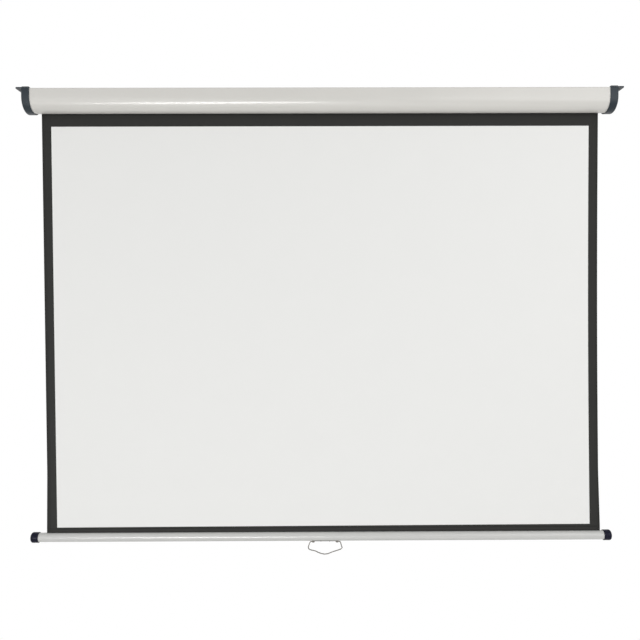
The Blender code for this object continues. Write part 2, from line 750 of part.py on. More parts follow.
def pawl_nose_offset():
    """From a pawl's pivot to its nose, so that the nose rides just clear of the ratchet disc."""
    reach = RATCHET_RADIUS + PAWL_RUNNING_GAP + PAWL_NOSE_RADIUS
    up = (reach ** 2 - PAWL_LENGTH ** 2 + PAWL_PIVOT_RADIUS ** 2) / (2 * PAWL_PIVOT_RADIUS)
    across = math.sqrt(reach ** 2 - up ** 2)
    return across, up - PAWL_PIVOT_RADIUS


def build_pawls():
    """Two pawls that hang on pins in the spring plug, half a turn apart."""
    across, up = pawl_nose_offset()
    lean = math.degrees(math.atan2(up, across))
    spread = math.degrees(math.asin((PAWL_EYE_RADIUS - PAWL_NOSE_RADIUS) / PAWL_LENGTH))
    face = PLUG_FACE + 2 * CLEARANCE
    for number, place in enumerate(pawl_pivots()):
        sign = 1 - 2 * number
        turn = 0.0 if number == 0 else 180.0
        nose = (sign * across, sign * up)
        outline = arc((0.0, 0.0), PAWL_EYE_RADIUS, turn + lean + 90 - spread, turn + lean + 270 + spread)
        outline += arc(nose, PAWL_NOSE_RADIUS, turn + lean - 90 + spread, turn + lean + 90 - spread)
        hole = circle((0.0, 0.0), PAWL_PIN_RADIUS + CLEARANCE)
        centre = (face + PAWL_THICKNESS / 2, place[0], place[1])
        pawl = plate("pawl_" + str(number + 1), [outline, hole], PAWL_THICKNESS, centre)
        finish(pawl, "zinc_steel")
        head = face + PAWL_THICKNESS + CLEARANCE
        shank = PAWL_PIN_SEAT + 3 * CLEARANCE + PAWL_THICKNESS
        profile = [
            (0.0, PAWL_PIN_HEAD),
            (PAWL_PIN_HEAD_RADIUS, PAWL_PIN_HEAD),
            (PAWL_PIN_HEAD_RADIUS, 0.0),
            (PAWL_PIN_RADIUS, 0.0),
            (PAWL_PIN_RADIUS, -shank),
            (0.0, -shank),
        ]
        pin_name = "pawl_pin_" + str(number + 1)
        pin = turned(pin_name, profile, (head, *place), LOCAL_Z_TO_X)
        finish(pin, "zinc_steel")


def ratchet_outline():
    """A round disc with two square-faced notches."""
    points = []
    half = NOTCH_ANGLE / 2
    for middle in (90.0, 270.0):
        points += arc((0.0, 0.0), RATCHET_RADIUS, middle - 180.0 + half, middle - half)
        angle = math.radians(middle - half)
        depth = RATCHET_RADIUS - NOTCH_DEPTH
        points.append((depth * math.cos(angle), depth * math.sin(angle)))
    return points


def build_spindle_group():
    """The fixed spindle, its ratchet disc, clip, spring collar and spring, and the tube's anchor."""
    axis = (-ROLLER_DEPTH, 0.0)
    end = BRACKET_FACE
    start = end - SPINDLE_LENGTH
    spindle = cross_cylinder("spindle", SPINDLE_RADIUS, start, end, axis)
    tang_start = end - TANG_LENGTH
    for number, sign in enumerate((-1, 1)):
        near = -ROLLER_DEPTH + sign * TANG_THICKNESS / 2
        far = -ROLLER_DEPTH + sign * 2 * SPINDLE_RADIUS
        low = (tang_start, min(near, far), -2 * SPINDLE_RADIUS)
        high = (end + SPINDLE_RADIUS, max(near, far), 2 * SPINDLE_RADIUS)
        combine(spindle, box("tang_flat_" + str(number + 1), low, high), "DIFFERENCE")
    finish(spindle, "zinc_steel")
    bore = SPINDLE_RADIUS + CLEARANCE
    disc_middle = PLUG_FACE + 2 * CLEARANCE + PAWL_THICKNESS / 2
    loops = [ratchet_outline(), circle((0.0, 0.0), bore)]
    disc = plate("ratchet_disc", loops, RATCHET_THICKNESS, (disc_middle, *axis))
    finish(disc, "black_steel")
    clip_middle = disc_middle + RATCHET_THICKNESS / 2 + CLEARANCE + CLIP_THICKNESS / 2
    clip = ring("spindle_clip", CLIP_RADIUS, bore, CLIP_THICKNESS, (clip_middle, *axis), LOCAL_Z_TO_X)
    finish(clip, "spring_steel")
    seat = SPRING_RADIUS * math.cos(math.pi / SPRING_STEPS) - SPRING_WIRE_RADIUS - CLEARANCE
    collar_middle = PLUG_FACE - PLUG_LENGTH - 2 * CLEARANCE - COLLAR_LENGTH / 2
    collar = ring("spring_collar", seat, bore, COLLAR_LENGTH, (collar_middle, *axis), LOCAL_Z_TO_X)
    finish(collar, "nylon")
    body = TUBE_RADIUS - TUBE_WALL - CLEARANCE
    anchor_profile = [
        (seat, ANCHOR_LENGTH + ANCHOR_NOSE),
        (seat, ANCHOR_LENGTH),
        (body, ANCHOR_LENGTH),
        (body, 0.0),
        (bore, 0.0),
        (bore, ANCHOR_LENGTH + ANCHOR_NOSE),
    ]
    anchor_start = start - CLEARANCE
    anchor = turned("tube_anchor", anchor_profile, (anchor_start, *axis), LOCAL_Z_TO_X, closed=True)
    finish(anchor, "nylon")
    coil_start = anchor_start + ANCHOR_LENGTH + SPRING_WIRE_RADIUS + 2 * CLEARANCE
    coil_end = PLUG_FACE - PLUG_LENGTH - SPRING_WIRE_RADIUS - 2 * CLEARANCE
    build_spring(coil_start, coil_end)


def build_spring(start, end):
    """The torsion spring, a helix about the spindle."""
    total = SPRING_TURNS * SPRING_STEPS
    points = []
    for step in range(total + 1):
        angle = 2 * math.pi * step / SPRING_STEPS
        across = start + (end - start) * step / total
        depth = -ROLLER_DEPTH + SPRING_RADIUS * math.cos(angle)
        points.append((across, depth, SPRING_RADIUS * math.sin(angle)))
    spring = as_mesh(wire("torsion_spring", points, SPRING_WIRE_RADIUS))
    return finish(spring, "spring_steel", smooth_angle=WIRE_SMOOTH_ANGLE)


def bar_outline():
    """A C-shaped section: a round tube with a slot on top and a flat underneath."""
    inner = BAR_RADIUS - BAR_WALL
    half_slot = BAR_SLOT_WIDTH / 2
    outer_slot = math.degrees(math.asin(half_slot / BAR_RADIUS))
    inner_slot = math.degrees(math.asin(half_slot / inner))
    flat = math.degrees(math.asin(BAR_FLAT_WIDTH / 2 / BAR_RADIUS))
    flat_inner = math.degrees(math.acos((FLAT_DEPTH - BAR_WALL) / inner))
    points = arc((0.0, 0.0), BAR_RADIUS, 90.0 + outer_slot, 270.0 - flat)
    points += arc((0.0, 0.0), BAR_RADIUS, 270.0 + flat, 450.0 - outer_slot)
    points += arc((0.0, 0.0), inner, 450.0 - inner_slot, 270.0 + flat_inner)
    points += arc((0.0, 0.0), inner, 270.0 - flat_inner, 90.0 + inner_slot)
    return points


def build_bar():
    """The bottom bar, its end caps and the hem that hangs it on the fabric."""
    centre = (0.0, FABRIC_MIDDLE, BAR_HEIGHT)
    bar = plate("slat_tube", [bar_outline()], 2 * BAR_HALF, centre)
    for number, across in enumerate(handle_screw_places()):
        hole = upright_cylinder(
            "slat_screw_hole_" + str(number + 1),
            HANDLE_SCREW_RADIUS + CLEARANCE,
            BAR_HEIGHT - 2 * BAR_RADIUS,
            BAR_HEIGHT - BAR_RADIUS / 2,
            (across, FABRIC_MIDDLE),
        )
        combine(bar, hole, "DIFFERENCE")
    finish(bar, "bar_paint")
    end = BAR_LENGTH_OVER_CAPS / 2
    rounded = arc((BAR_CAP_RADIUS - BAR_CAP_ROUND, end - BAR_CAP_ROUND), BAR_CAP_ROUND, 90.0, 0.0)
    pocket = BAR_RADIUS + CLEARANCE
    profile = [(0.0, end)] + rounded
    profile += [
        (BAR_CAP_RADIUS, end - BAR_CAP_LENGTH),
        (pocket, end - BAR_CAP_LENGTH),
        (pocket, end - BAR_CAP_END),
        (0.0, end - BAR_CAP_END),
    ]
    for side in (-1, 1):
        turn = LOCAL_Z_TO_X if side > 0 else LOCAL_Z_TO_MINUS_X
        cap = turned(side_name(side) + "_slat_cap", profile, centre, turn)
        finish(cap, "navy_plastic")
    hem_radius = HEM_ROD_RADIUS + CLEARANCE + HEM_WALL
    hem_height = BAR_HEIGHT + BAR_RADIUS - BAR_WALL - CLEARANCE - hem_radius
    hem_centre = (0.0, FABRIC_MIDDLE, hem_height)
    hem = ring("fabric_hem", hem_radius, HEM_ROD_RADIUS + CLEARANCE, FABRIC_WIDTH, hem_centre, LOCAL_Z_TO_X)
    finish(hem, "screen_white")
    half = FABRIC_WIDTH / 2
    rod = cross_cylinder("hem_rod", HEM_ROD_RADIUS, -half, half, (FABRIC_MIDDLE, hem_height))
    finish(rod, "zinc_steel")
    sheet = box(
        "fabric_drop",
        (-half, FABRIC_FRONT, hem_height + hem_radius + CLEARANCE),
        (half, FABRIC_FRONT + FABRIC_THICKNESS, 0.0),
    )
    finish(sheet, "screen_white")


def handle_screw_places():
    """Places along the bar of the two screws that hold the handle's plate."""
    return [HANDLE_OFFSET + sign * HANDLE_SCREW_SPACING / 2 for sign in (-1, 1)]


def build_handle_plate():
    """A strip screwed to the bar's flat, with a curled eyelet near each end."""
    half_length = HANDLE_PLATE_LENGTH / 2
    half_width = HANDLE_PLATE_WIDTH / 2
    holes = []
    for across in handle_screw_places():
        holes.append(circle((across - HANDLE_OFFSET, 0.0), HANDLE_SCREW_RADIUS + CLEARANCE))
    outline = rectangle((-half_length, -half_width), (half_length, half_width))
    centre = (HANDLE_OFFSET, FABRIC_MIDDLE, HANDLE_PLATE_HEIGHT)
    strip = plate("handle_plate", [outline] + holes, HANDLE_PLATE_THICKNESS, centre, FLOOR_PLANE)
    for number, sign in enumerate((-1, 1)):
        middle = HANDLE_OFFSET + sign * EYELET_SPACING / 2
        barrel = ring(
            "eyelet_" + str(number + 1),
            EYELET_RADIUS,
            WIRE_RADIUS + CLEARANCE,
            EYELET_LENGTH,
            (middle, FABRIC_MIDDLE, PIVOT_HEIGHT),
            LOCAL_Z_TO_X,
        )
        combine(strip, barrel, "UNION")
    finish(strip, "handle_steel")
    base_height = HANDLE_PLATE_HEIGHT - HANDLE_PLATE_THICKNESS / 2 - CLEARANCE
    for number, across in enumerate(handle_screw_places()):
        screw = pan_screw(
            "handle_screw_" + str(number + 1),
            (across, FABRIC_MIDDLE, base_height),
            (math.pi, 0.0, 0.0),
            HANDLE_SCREW_RADIUS,
            HANDLE_SCREW_LENGTH,
            HANDLE_SCREW_HEAD_RADIUS,
            HANDLE_SCREW_HEAD,
        )
        finish(screw, "black_steel")


def smooth_chain(points, steps):
    """A smooth curve through a chain of points, as a Catmull-Rom spline."""
    chain = [points[0]] + list(points) + [points[-1]]
    smooth = []
    for index in range(1, len(chain) - 2):
        before, start, end, after = chain[index - 1:index + 3]
        for step in range(steps):
            t = step / steps
            place = []
            for axis in range(2):
                a, b, c, d = before[axis], start[axis], end[axis], after[axis]
                value = b + 0.5 * t * (c - a)
                value += t * t * (a - 2.5 * b + 2.0 * c - 0.5 * d)
                value += t ** 3 * 0.5 * (3.0 * b - a - 3.0 * c + d)
                place.append(value)
            smooth.append(tuple(place))
    smooth.append(tuple(points[-1]))
    return smooth


def build_pull_handle():
    """The wire bail: its ends turn in the eyelets and its grip dips in the middle."""
    shoulder = HANDLE_PLATE_LENGTH / 2 + 2 * WIRE_RADIUS
    stub = EYELET_SPACING / 2 - EYELET_LENGTH / 2 - WIRE_RADIUS
    half = HANDLE_WIDTH / 2 - WIRE_RADIUS
    drop = HANDLE_DROP - WIRE_RADIUS
    corner = 2 * WIRE_RADIUS
    leg = [(shoulder, 0.0), (shoulder + corner, -corner)]
    leg += [(half * across_share, -drop * drop_share) for across_share, drop_share in HANDLE_CURVE]
    right = [(stub, 0.0)] + smooth_chain(leg, HANDLE_CURVE_STEPS)
    left = [(-across, height) for across, height in right[:-1]]
    points = []
    for across, height in left + list(reversed(right)):
        points.append((across, 0.0, height))
    bail = wire("pull_handle", points, WIRE_RADIUS)
    bail.location = (HANDLE_OFFSET, FABRIC_MIDDLE, PIVOT_HEIGHT)
    return finish(as_mesh(bail), "handle_steel", smooth_angle=WIRE_SMOOTH_ANGLE)


def build_screen():
    """Every piece of the screen."""
    build_case_shell()
    axis = (-ROLLER_DEPTH, 0.0)
    bush_hole = circle(axis, PIN_RADIUS + BUSH_WALL + 2 * CLEARANCE)
    half_tang = TANG_THICKNESS / 2 + CLEARANCE
    tang_reach = SPINDLE_RADIUS + CLEARANCE
    tang_low = (axis[0] - half_tang, axis[1] - tang_reach)
    tang_high = (axis[0] + half_tang, axis[1] + tang_reach)
    build_bracket(-1, "idle_bracket", bush_hole)
    build_bracket(1, "spring_bracket", rectangle(tang_low, tang_high))
    for side in (-1, 1):
        build_end_cap(side)
        build_bracket_screws(side)
        build_case_screw(side)
    build_idle_bush()
    build_roller()
    build_pawls()
    build_spindle_group()
    build_bar()
    build_handle_plate()
    build_pull_handle()


build_screen()
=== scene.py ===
# %% [markdown]
# # A pull-down projector screen
# The real thing hangs on a wall or under a ceiling: a D-shaped steel case with a moulded cap at each end, a
# sprung roller inside it, a sheet of coated fabric, and a round bar with a wire handle along its bottom.
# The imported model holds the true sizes, the places and the joints. This lesson gives every piece the
# surface and the finish that the eye expects. Nothing in the model is moved: a smoother piece stands where
# the model's own plain one is, and hidden pieces keep their shape and only get a better finish.

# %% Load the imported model
import json
import math

import bmesh
import bpy
import numpy as np
from mathutils import Matrix, Vector


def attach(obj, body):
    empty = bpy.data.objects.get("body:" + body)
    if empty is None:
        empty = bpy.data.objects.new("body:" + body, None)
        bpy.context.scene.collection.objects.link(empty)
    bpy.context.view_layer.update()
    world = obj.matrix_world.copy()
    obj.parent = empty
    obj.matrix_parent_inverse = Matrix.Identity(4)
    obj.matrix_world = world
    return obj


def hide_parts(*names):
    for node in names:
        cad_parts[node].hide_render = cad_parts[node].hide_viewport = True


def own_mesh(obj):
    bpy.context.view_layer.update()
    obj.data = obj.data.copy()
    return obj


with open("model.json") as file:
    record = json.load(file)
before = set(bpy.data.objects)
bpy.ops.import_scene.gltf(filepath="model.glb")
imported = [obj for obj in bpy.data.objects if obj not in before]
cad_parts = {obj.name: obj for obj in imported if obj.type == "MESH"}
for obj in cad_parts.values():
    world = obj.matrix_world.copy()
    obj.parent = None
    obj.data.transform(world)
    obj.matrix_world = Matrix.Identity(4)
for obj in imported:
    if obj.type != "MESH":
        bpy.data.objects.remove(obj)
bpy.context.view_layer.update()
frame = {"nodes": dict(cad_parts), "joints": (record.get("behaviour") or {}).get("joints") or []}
joints = {joint["name"]: joint for joint in frame["joints"]}


def extent(name):
    """The lowest and the highest corner of one of the model's pieces, from its eight box corners."""
    piece = frame["nodes"][name]
    corners = np.array([piece.matrix_world @ Vector(corner) for corner in piece.bound_box])
    return corners.min(axis=0), corners.max(axis=0)


print("pieces in the model:", len(frame["nodes"]))

# %% [markdown]
# ## The camera
# The picture was taken from straight ahead, about 1.8 m away and level with the middle of the fabric, with
# hardly any tilt. A camera could be aimed by hand, but the edges of fabric, case and bar give its unknowns
# more exactly: the eye's place, its tilt, turn and roll in degrees, and the lens in millimetres. They were
# solved once and are written here.

# %% Place the camera
EYE = (-0.0106, -1.7966, -0.5579)
EYE_TILT, EYE_TURN, EYE_ROLL = -0.919, -0.254, 0.182
LENS = 36.91
SENSOR = 36.0

viewer = bpy.data.objects.new("viewer", bpy.data.cameras.new("viewer"))
bpy.context.scene.collection.objects.link(viewer)
viewer.data.sensor_width = SENSOR
viewer.data.lens = LENS
turn = Matrix.Rotation(math.radians(EYE_TURN), 4, "Z") @ Matrix.Rotation(math.radians(EYE_TILT), 4, "X")
turn = turn @ Matrix.Rotation(math.radians(EYE_ROLL), 4, "Y") @ Matrix.Rotation(math.pi / 2, 4, "X")
viewer.matrix_world = Matrix.Translation(EYE) @ turn
bpy.context.scene.camera = viewer
bpy.context.scene.view_settings.view_transform = "Standard"
print("field of view in degrees:", round(math.degrees(2 * math.atan(SENSOR / 2 / LENS)), 1))

# %% [markdown]
# ## Colours and nodes
# A colour picked from a picture is in sRGB, which is bent to suit the eye, while Blender mixes light in
# linear numbers. One function unbends a hex colour. A second one adds a node to any material: its options,
# then each of its inputs as a number, a colour or another node's output.

# %% Two helpers for all nodes
def linear(hex_colour):
    """sRGB to linear: below 0.04045 a straight line, above it ((value + 0.055) / 1.055) to the power 2.4."""
    value = np.array([int(hex_colour[start:start + 2], 16) for start in (1, 3, 5)]) / 255
    unbent = np.where(value <= 0.04045, value / 12.92, ((value + 0.055) / 1.055) ** 2.4)
    return (*unbent.tolist(), 1.0)


def node(tree, kind, options=None, inputs=None):
    """Adds one node, sets its options, and sets or links its inputs."""
    added = tree.nodes.new(kind)
    for name, value in (options or {}).items():
        setattr(added, name, value)
    for name, value in (inputs or {}).items():
        if isinstance(value, bpy.types.NodeSocket):
            tree.links.new(value, added.inputs[name])
        else:
            added.inputs[name].default_value = value
    return added


print("the case's paint in linear numbers:", [round(part, 3) for part in linear("#D5D3CE")[:3]])

# %% [markdown]
# Every finish needs the same few things: a shader with its settings, a soft or a grainy random value, a tint
# between two close colours, a range of gloss, and fine bumps. They are written once, so that each finish
# below is only what makes that material different.

# %% Helpers for finishes
def new_finish(name, settings):
    """A material whose shader has some of its inputs set. Returns the material, its nodes and the shader."""
    finish = bpy.data.materials.new(name)
    finish.use_nodes = True
    shader = finish.node_tree.nodes["Principled BSDF"]
    for label, value in settings.items():
        shader.inputs[label].default_value = value
    return finish, finish.node_tree, shader


def object_place(tree):
    """A point's place in its own object, in metres."""
    return node(tree, "ShaderNodeTexCoord").outputs["Object"]


def noise(tree, place, size, detail):
    """A soft random value about 0.5, with lumps about size metres wide."""
    scale = {"Vector": place, "Scale": 1 / size, "Detail": detail}
    return node(tree, "ShaderNodeTexNoise", None, scale).outputs["Fac"]


def cells(tree, place, size):
    """The distance to the nearest of many scattered points about size metres apart, as a share of size."""
    return node(tree, "ShaderNodeTexVoronoi", None, {"Vector": place, "Scale": 1 / size}).outputs["Distance"]


def tint_between(tree, share, first, second):
    """first + share x (second - first), for two hex colours."""
    ends = {0: share, 6: linear(first), 7: linear(second)}
    return node(tree, "ShaderNodeMix", {"data_type": "RGBA"}, ends).outputs[2]


def range_between(tree, share, low, high):
    """low + share x (high - low), with the share kept between 0 and 1."""
    return node(tree, "ShaderNodeMapRange", None, {"Value": share, "To Min": low, "To Max": high}).outputs[0]


def bumps(tree, height, depth):
    """The normal of a surface that rises by height x depth metres."""
    return node(tree, "ShaderNodeBump", None, {"Height": height, "Distance": depth}).outputs[0]


def mix_shaders(tree, share, first, second):
    """first x (1 - share) + second x share, for two shaders."""
    return node(tree, "ShaderNodeMixShader", None, {0: share, 1: first, 2: second}).outputs[0]


def seen_directly(tree):
    """1 for a ray from the eye, a reflection or glass, and 0 for the rays that light a matt surface."""
    ray = node(tree, "ShaderNodeLightPath")
    seen = ray.outputs["Is Camera Ray"]
    for kind in ("Is Glossy Ray", "Is Transmission Ray"):
        pair = {0: seen, 1: ray.outputs[kind]}
        seen = node(tree, "ShaderNodeMath", {"operation": "MAXIMUM"}, pair).outputs[0]
    return seen


def connect(tree, shader, colour, roughness, normal=None):
    """Links the tint, the gloss and the bumps to the shader."""
    tree.links.new(colour, shader.inputs["Base Color"])
    tree.links.new(roughness, shader.inputs["Roughness"])
    if normal:
        tree.links.new(normal, shader.inputs["Normal"])


WHITE = (1.0, 1.0, 1.0, 1.0)
PAINT_IOR = 1.5
print("a grain of 0.8 mm is a scale of", round(1 / 0.0008), "per metre")

# %% [markdown]
# ## Light, floor and background
# The picture is lit softly from all round, with one large soft lamp on each side and a weak one low in
# front, which lifts the undersides of case and bar as a pale floor does. The right lamp is the strongest and
# brightens the right end of the case. Something long and bright low on the left shows as a narrow line along
# the left half of the case and of the bar. It lights nothing else, so the strip lamp that stands for it is
# seen in reflections only. World and lamps come to about 1, so that a colour renders as it is written. A
# lamp's power follows from the share of that light it should give: P watts at distance d light a matt wall
# that faces the lamp by P / (pi x pi x d x d).

# %% The lamps and the world
LAMP_AIM = Vector((0.0, 0.0, -0.55))
WORLD_SHARE = 0.52


def add_lamp(name, place, size, share):
    """An oval lamp aimed at the middle of the screen. Its power is share x pi x pi x distance squared."""
    lamp = bpy.data.objects.new(name, bpy.data.lights.new(name, "AREA"))
    bpy.context.scene.collection.objects.link(lamp)
    lamp.data.shape = "ELLIPSE"
    lamp.data.size, lamp.data.size_y = size
    reach = LAMP_AIM - Vector(place)
    lamp.data.energy = share * math.pi ** 2 * reach.length_squared
    lamp.matrix_world = Matrix.Translation(place) @ reach.to_track_quat("-Z", "Y").to_matrix().to_4x4()
    lamp.visible_camera = False
    print(name, "in watts:", round(lamp.data.energy, 1))
    return lamp


add_lamp("right_lamp", (1.6, -2.0, 0.0), (2.2, 2.2), 0.30)
add_lamp("left_lamp", (-1.6, -2.0, -0.6), (2.6, 2.6), 0.23)
add_lamp("low_lamp", (0.0, -1.3, -2.0), (2.4, 1.2), 0.11)
add_lamp("strip_lamp", (-0.58, -1.65, -1.22), (1.25, 0.40), 0.60).visible_diffuse = False

world = bpy.data.worlds.new("white_room")
bpy.context.scene.world = world
world.use_nodes = True
tree = world.node_tree
tree.nodes.clear()
even = node(tree, "ShaderNodeBackground", None, {"Color": WHITE, "Strength": WORLD_SHARE})
white = node(tree, "ShaderNodeBackground", None, {"Color": WHITE, "Strength": 1.0})
mixed = mix_shaders(tree, seen_directly(tree), even.outputs[0], white.outputs[0])
node(tree, "ShaderNodeOutputWorld", None, {"Surface": mixed})
print("share of the light from the world:", WORLD_SHARE)

# %% [markdown]
# The floor is well below the screen, as under a screen on a wall. Near the screen it is plain pale board
# that keeps the shadow. Further out it fades, by distance from the screen, to the same white as the world,
# so that no edge of it shows. Seen from below it lets the eye through.

# %% The floor
FLOOR_HEIGHT = -2.15
FLOOR_HALF = 5.0
FADE_START, FADE_END = 0.7, 1.3
MOTTLE_SIZE = 1 / 3

floor_mesh = bpy.data.meshes.new("floor")
corner = np.array([(-1, -1), (1, -1), (1, 1), (-1, 1)]) * FLOOR_HALF
floor_mesh.from_pydata([(x, y, FLOOR_HEIGHT) for x, y in corner.tolist()], [], [(0, 1, 2, 3)])
floor = bpy.data.objects.new("floor", floor_mesh)
bpy.context.scene.collection.objects.link(floor)

pale_board = bpy.data.materials.new("pale_board")
pale_board.use_nodes = True
tree = pale_board.node_tree
tree.nodes.clear()
place = object_place(tree)
flat = node(tree, "ShaderNodeVectorMath", {"operation": "MULTIPLY"}, {0: place, 1: (1, 1, 0)})
far = node(tree, "ShaderNodeVectorMath", {"operation": "LENGTH"}, {0: flat.outputs[0]})
fade = node(tree, "ShaderNodeMapRange", {"interpolation_type": "SMOOTHSTEP"},
            {"Value": far.outputs["Value"], "From Min": FADE_START, "From Max": FADE_END})
whiten = node(tree, "ShaderNodeMath", {"operation": "MULTIPLY"}, {0: fade.outputs[0], 1: seen_directly(tree)})
mottle = tint_between(tree, noise(tree, place, MOTTLE_SIZE, 2), "#F1F1F0", "#F6F6F5")
board = node(tree, "ShaderNodeBsdfDiffuse", None, {"Color": mottle})
glow = node(tree, "ShaderNodeEmission", None, {"Color": WHITE, "Strength": 1.0})
above = mix_shaders(tree, whiten.outputs[0], board.outputs[0], glow.outputs[0])
clear = node(tree, "ShaderNodeBsdfTransparent")
from_below = node(tree, "ShaderNodeNewGeometry").outputs["Backfacing"]
both = mix_shaders(tree, from_below, above, clear.outputs[0])
node(tree, "ShaderNodeOutputMaterial", None, {"Surface": both})
floor_mesh.materials.append(pale_board)
print("floor in m below the roller:", -FLOOR_HEIGHT)

# %% [markdown]
# ## Lines and skins
# Nearly every piece here is one of three shapes: a section carried along the screen's length, a profile
# turned about an axis, or a tube along a path. Each is a grid of points worked out at once as an array, with
# quads between neighbours. Modelling by hand would do too, but with arrays a size changes in one place.
# All numbers are in metres, in the model's own frame: X along the screen, Y towards the wall, Z up.

# %% Points on arcs and smooth chains
def arc(centre, radius, start, end, steps):
    """Centre + radius x (cos, sin) of an angle that goes from start to end in degrees."""
    angle = np.radians(np.linspace(start, end, steps + 1))
    return np.stack([centre[0] + radius * np.cos(angle), centre[1] + radius * np.sin(angle)], axis=1)


def chain(points, steps):
    """A smooth line through points: between two of them a cubic whose slope at each is half the step from
    the point before to the point after."""
    points = np.asarray(points, float)
    padded = np.concatenate([points[:1], points, points[-1:]])
    a, b, c, d = (padded[start:len(padded) - 3 + start, None] for start in range(4))
    t = (np.arange(steps) / steps)[None, :, None]
    line = b + t * (c - a) / 2 + t ** 2 * (a - 2.5 * b + 2 * c - d / 2)
    line = line + t ** 3 * (3 * b - a - 3 * c + d) / 2
    return np.concatenate([line.reshape(-1, points.shape[1]), points[-1:]])


def spaced(stops, steps):
    """Values from stop to stop, evenly spaced in each stretch: start + (end - start) x number / steps."""
    stretches = zip(stops, stops[1:], steps)
    inner = [np.linspace(start, end, count, endpoint=False) for start, end, count in stretches]
    return np.concatenate([*inner, stops[-1:]])


def line_length(points):
    """The sum of the distances between neighbours."""
    return float(np.linalg.norm(np.diff(points, axis=0), axis=1).sum())


print("a quarter of a 34 mm arc in mm:", round(1000 * line_length(arc((0, 0), 0.034, 0, 90, 32)), 2))

# %% [markdown]
# A bent sheet has two sides. Its section is the outer line, then the same line moved inwards by the wall
# and walked back. At a bend the move is a little longer, so that the wall keeps its thickness.

# %% The section of a bent wall
def with_wall(path, wall):
    """Each point moves along the mean of its segments' right-hand normals, by wall / cos(half the bend)."""
    step = np.diff(path, axis=0)
    step = step / np.linalg.norm(step, axis=1, keepdims=True)
    before, after = np.concatenate([step[:1], step]), np.concatenate([step, step[-1:]])
    mean = before + after
    mean = mean / np.linalg.norm(mean, axis=1, keepdims=True)
    normal = np.stack([mean[:, 1], -mean[:, 0]], axis=1)
    inner = path + normal * wall / (mean * before).sum(axis=1, keepdims=True)
    return np.concatenate([path, inner[::-1]])


test_bend = with_wall(np.array([(0.0, 0.0), (0.0, 0.01), (0.01, 0.01)]), 0.001)
print("inner corner of a 1 mm wall in mm:", np.round(1000 * test_bend[4], 3))

# %% Grids of points
def along_x(section, stations):
    """A section of (y, z) points repeated at each station x."""
    across = np.repeat(np.asarray(stations, float)[:, None], len(section), axis=1)
    return np.stack([across, *np.broadcast_arrays(section[:, 0], section[:, 1], across)[:2]], axis=-1)


def turned(profile, steps):
    """A profile of (radius, height) turned about Z: (radius cos a, radius sin a, height)."""
    radius, height = np.asarray(profile, float).T
    angle = np.linspace(0, 2 * np.pi, steps, endpoint=False)
    x, y = np.outer(radius, np.cos(angle)), np.outer(radius, np.sin(angle))
    return np.stack([x, y, np.outer(height, np.ones_like(angle))], axis=-1)


def placed(points, origin, axis):
    """Local points carried so that their Z lies along the axis: origin + x across + y away + z axis."""
    axis = np.asarray(axis, float)
    across = np.array((0.0, 1.0, 0.0))
    away = np.cross(axis, across)
    return np.asarray(origin) + points @ np.stack([across, away, axis])


def tube_in_plane(path, radius, sides):
    """A round tube on a path in the X, Z plane: path + radius (cos a x the path's normal + sin a x Y)."""
    step = np.gradient(path, axis=0)
    step = step / np.linalg.norm(step, axis=1, keepdims=True)
    normal = np.stack([step[:, 1], -step[:, 0]], axis=1)
    angle = np.linspace(0, 2 * np.pi, sides, endpoint=False)
    radius = np.broadcast_to(radius, len(path))[:, None]
    x = path[:, :1] + radius * normal[:, :1] * np.cos(angle)
    z = path[:, 1:] + radius * normal[:, 1:] * np.cos(angle)
    return np.stack([x, radius * np.sin(angle) * np.ones_like(x), z], axis=-1)


print("points in a turned ring of 8 steps:", turned([(0.01, 0.0), (0.01, 0.02)], 8).shape)

# %% Skins and pieces
def skin(points, rows_closed=False, columns_closed=True, ends=""):
    """Quads (i, j), (i + 1, j), (i + 1, j + 1), (i, j + 1). Ends: "flat" covers the first and last row with
    a face each, "wall" with quads between the two sides of a bent wall."""
    rows, columns = points.shape[:2]
    row, column = np.meshgrid(
        np.arange(rows if rows_closed else rows - 1),
        np.arange(columns if columns_closed else columns - 1), indexing="ij")
    below, beside = (row + 1) % rows, (column + 1) % columns
    quads = np.stack([row * columns + column, below * columns + column,
                      below * columns + beside, row * columns + beside], axis=-1)
    faces = quads.reshape(-1, 4).tolist()
    first, last = np.arange(columns), np.arange(columns) + (rows - 1) * columns
    if ends == "flat":
        faces += [first.tolist(), last[::-1].tolist()]
    if ends == "wall":
        near = np.arange(columns // 2 - 1)
        wall = np.stack([near, near + 1, columns - 2 - near, columns - 1 - near], axis=-1)
        faces += wall.tolist() + (wall[:, ::-1] + (rows - 1) * columns).tolist()
    return points.reshape(-1, 3), faces


WELD_REACH = 1e-6


def make_piece(name, skins, sharp_angle=35.0, welded=True):
    """One mesh object at the origin from one or more skins. Welding merges doubled points, closes poles,
    and turns every face outwards. A single sheet isn't welded, so that its points keep their order."""
    points, faces, count = [], [], 0
    for skin_points, skin_faces in skins:
        points.append(skin_points)
        faces += [[corner + count for corner in face] for face in skin_faces]
        count += len(skin_points)
    mesh = bpy.data.meshes.new(name)
    mesh.from_pydata(np.concatenate(points).tolist(), [], faces)
    if welded:
        solid = bmesh.new()
        solid.from_mesh(mesh)
        bmesh.ops.remove_doubles(solid, verts=solid.verts, dist=WELD_REACH)
        bmesh.ops.recalc_face_normals(solid, faces=solid.faces)
        solid.to_mesh(mesh)
        solid.free()
    mesh.shade_smooth()
    mesh.set_sharp_from_angle(angle=math.radians(sharp_angle))
    piece = bpy.data.objects.new(name, mesh)
    bpy.context.scene.collection.objects.link(piece)
    return piece


def fit(piece, body, finishes, stands_for):
    """The piece gets its finishes, rides on a body of the model and stands for the model's own nodes."""
    for finish in finishes:
        piece.data.materials.append(finish)
    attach(piece, body)
    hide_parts(*stands_for)
    print(piece.name, "faces:", len(piece.data.polygons), "on", body)
    return piece


print("helpers ready")

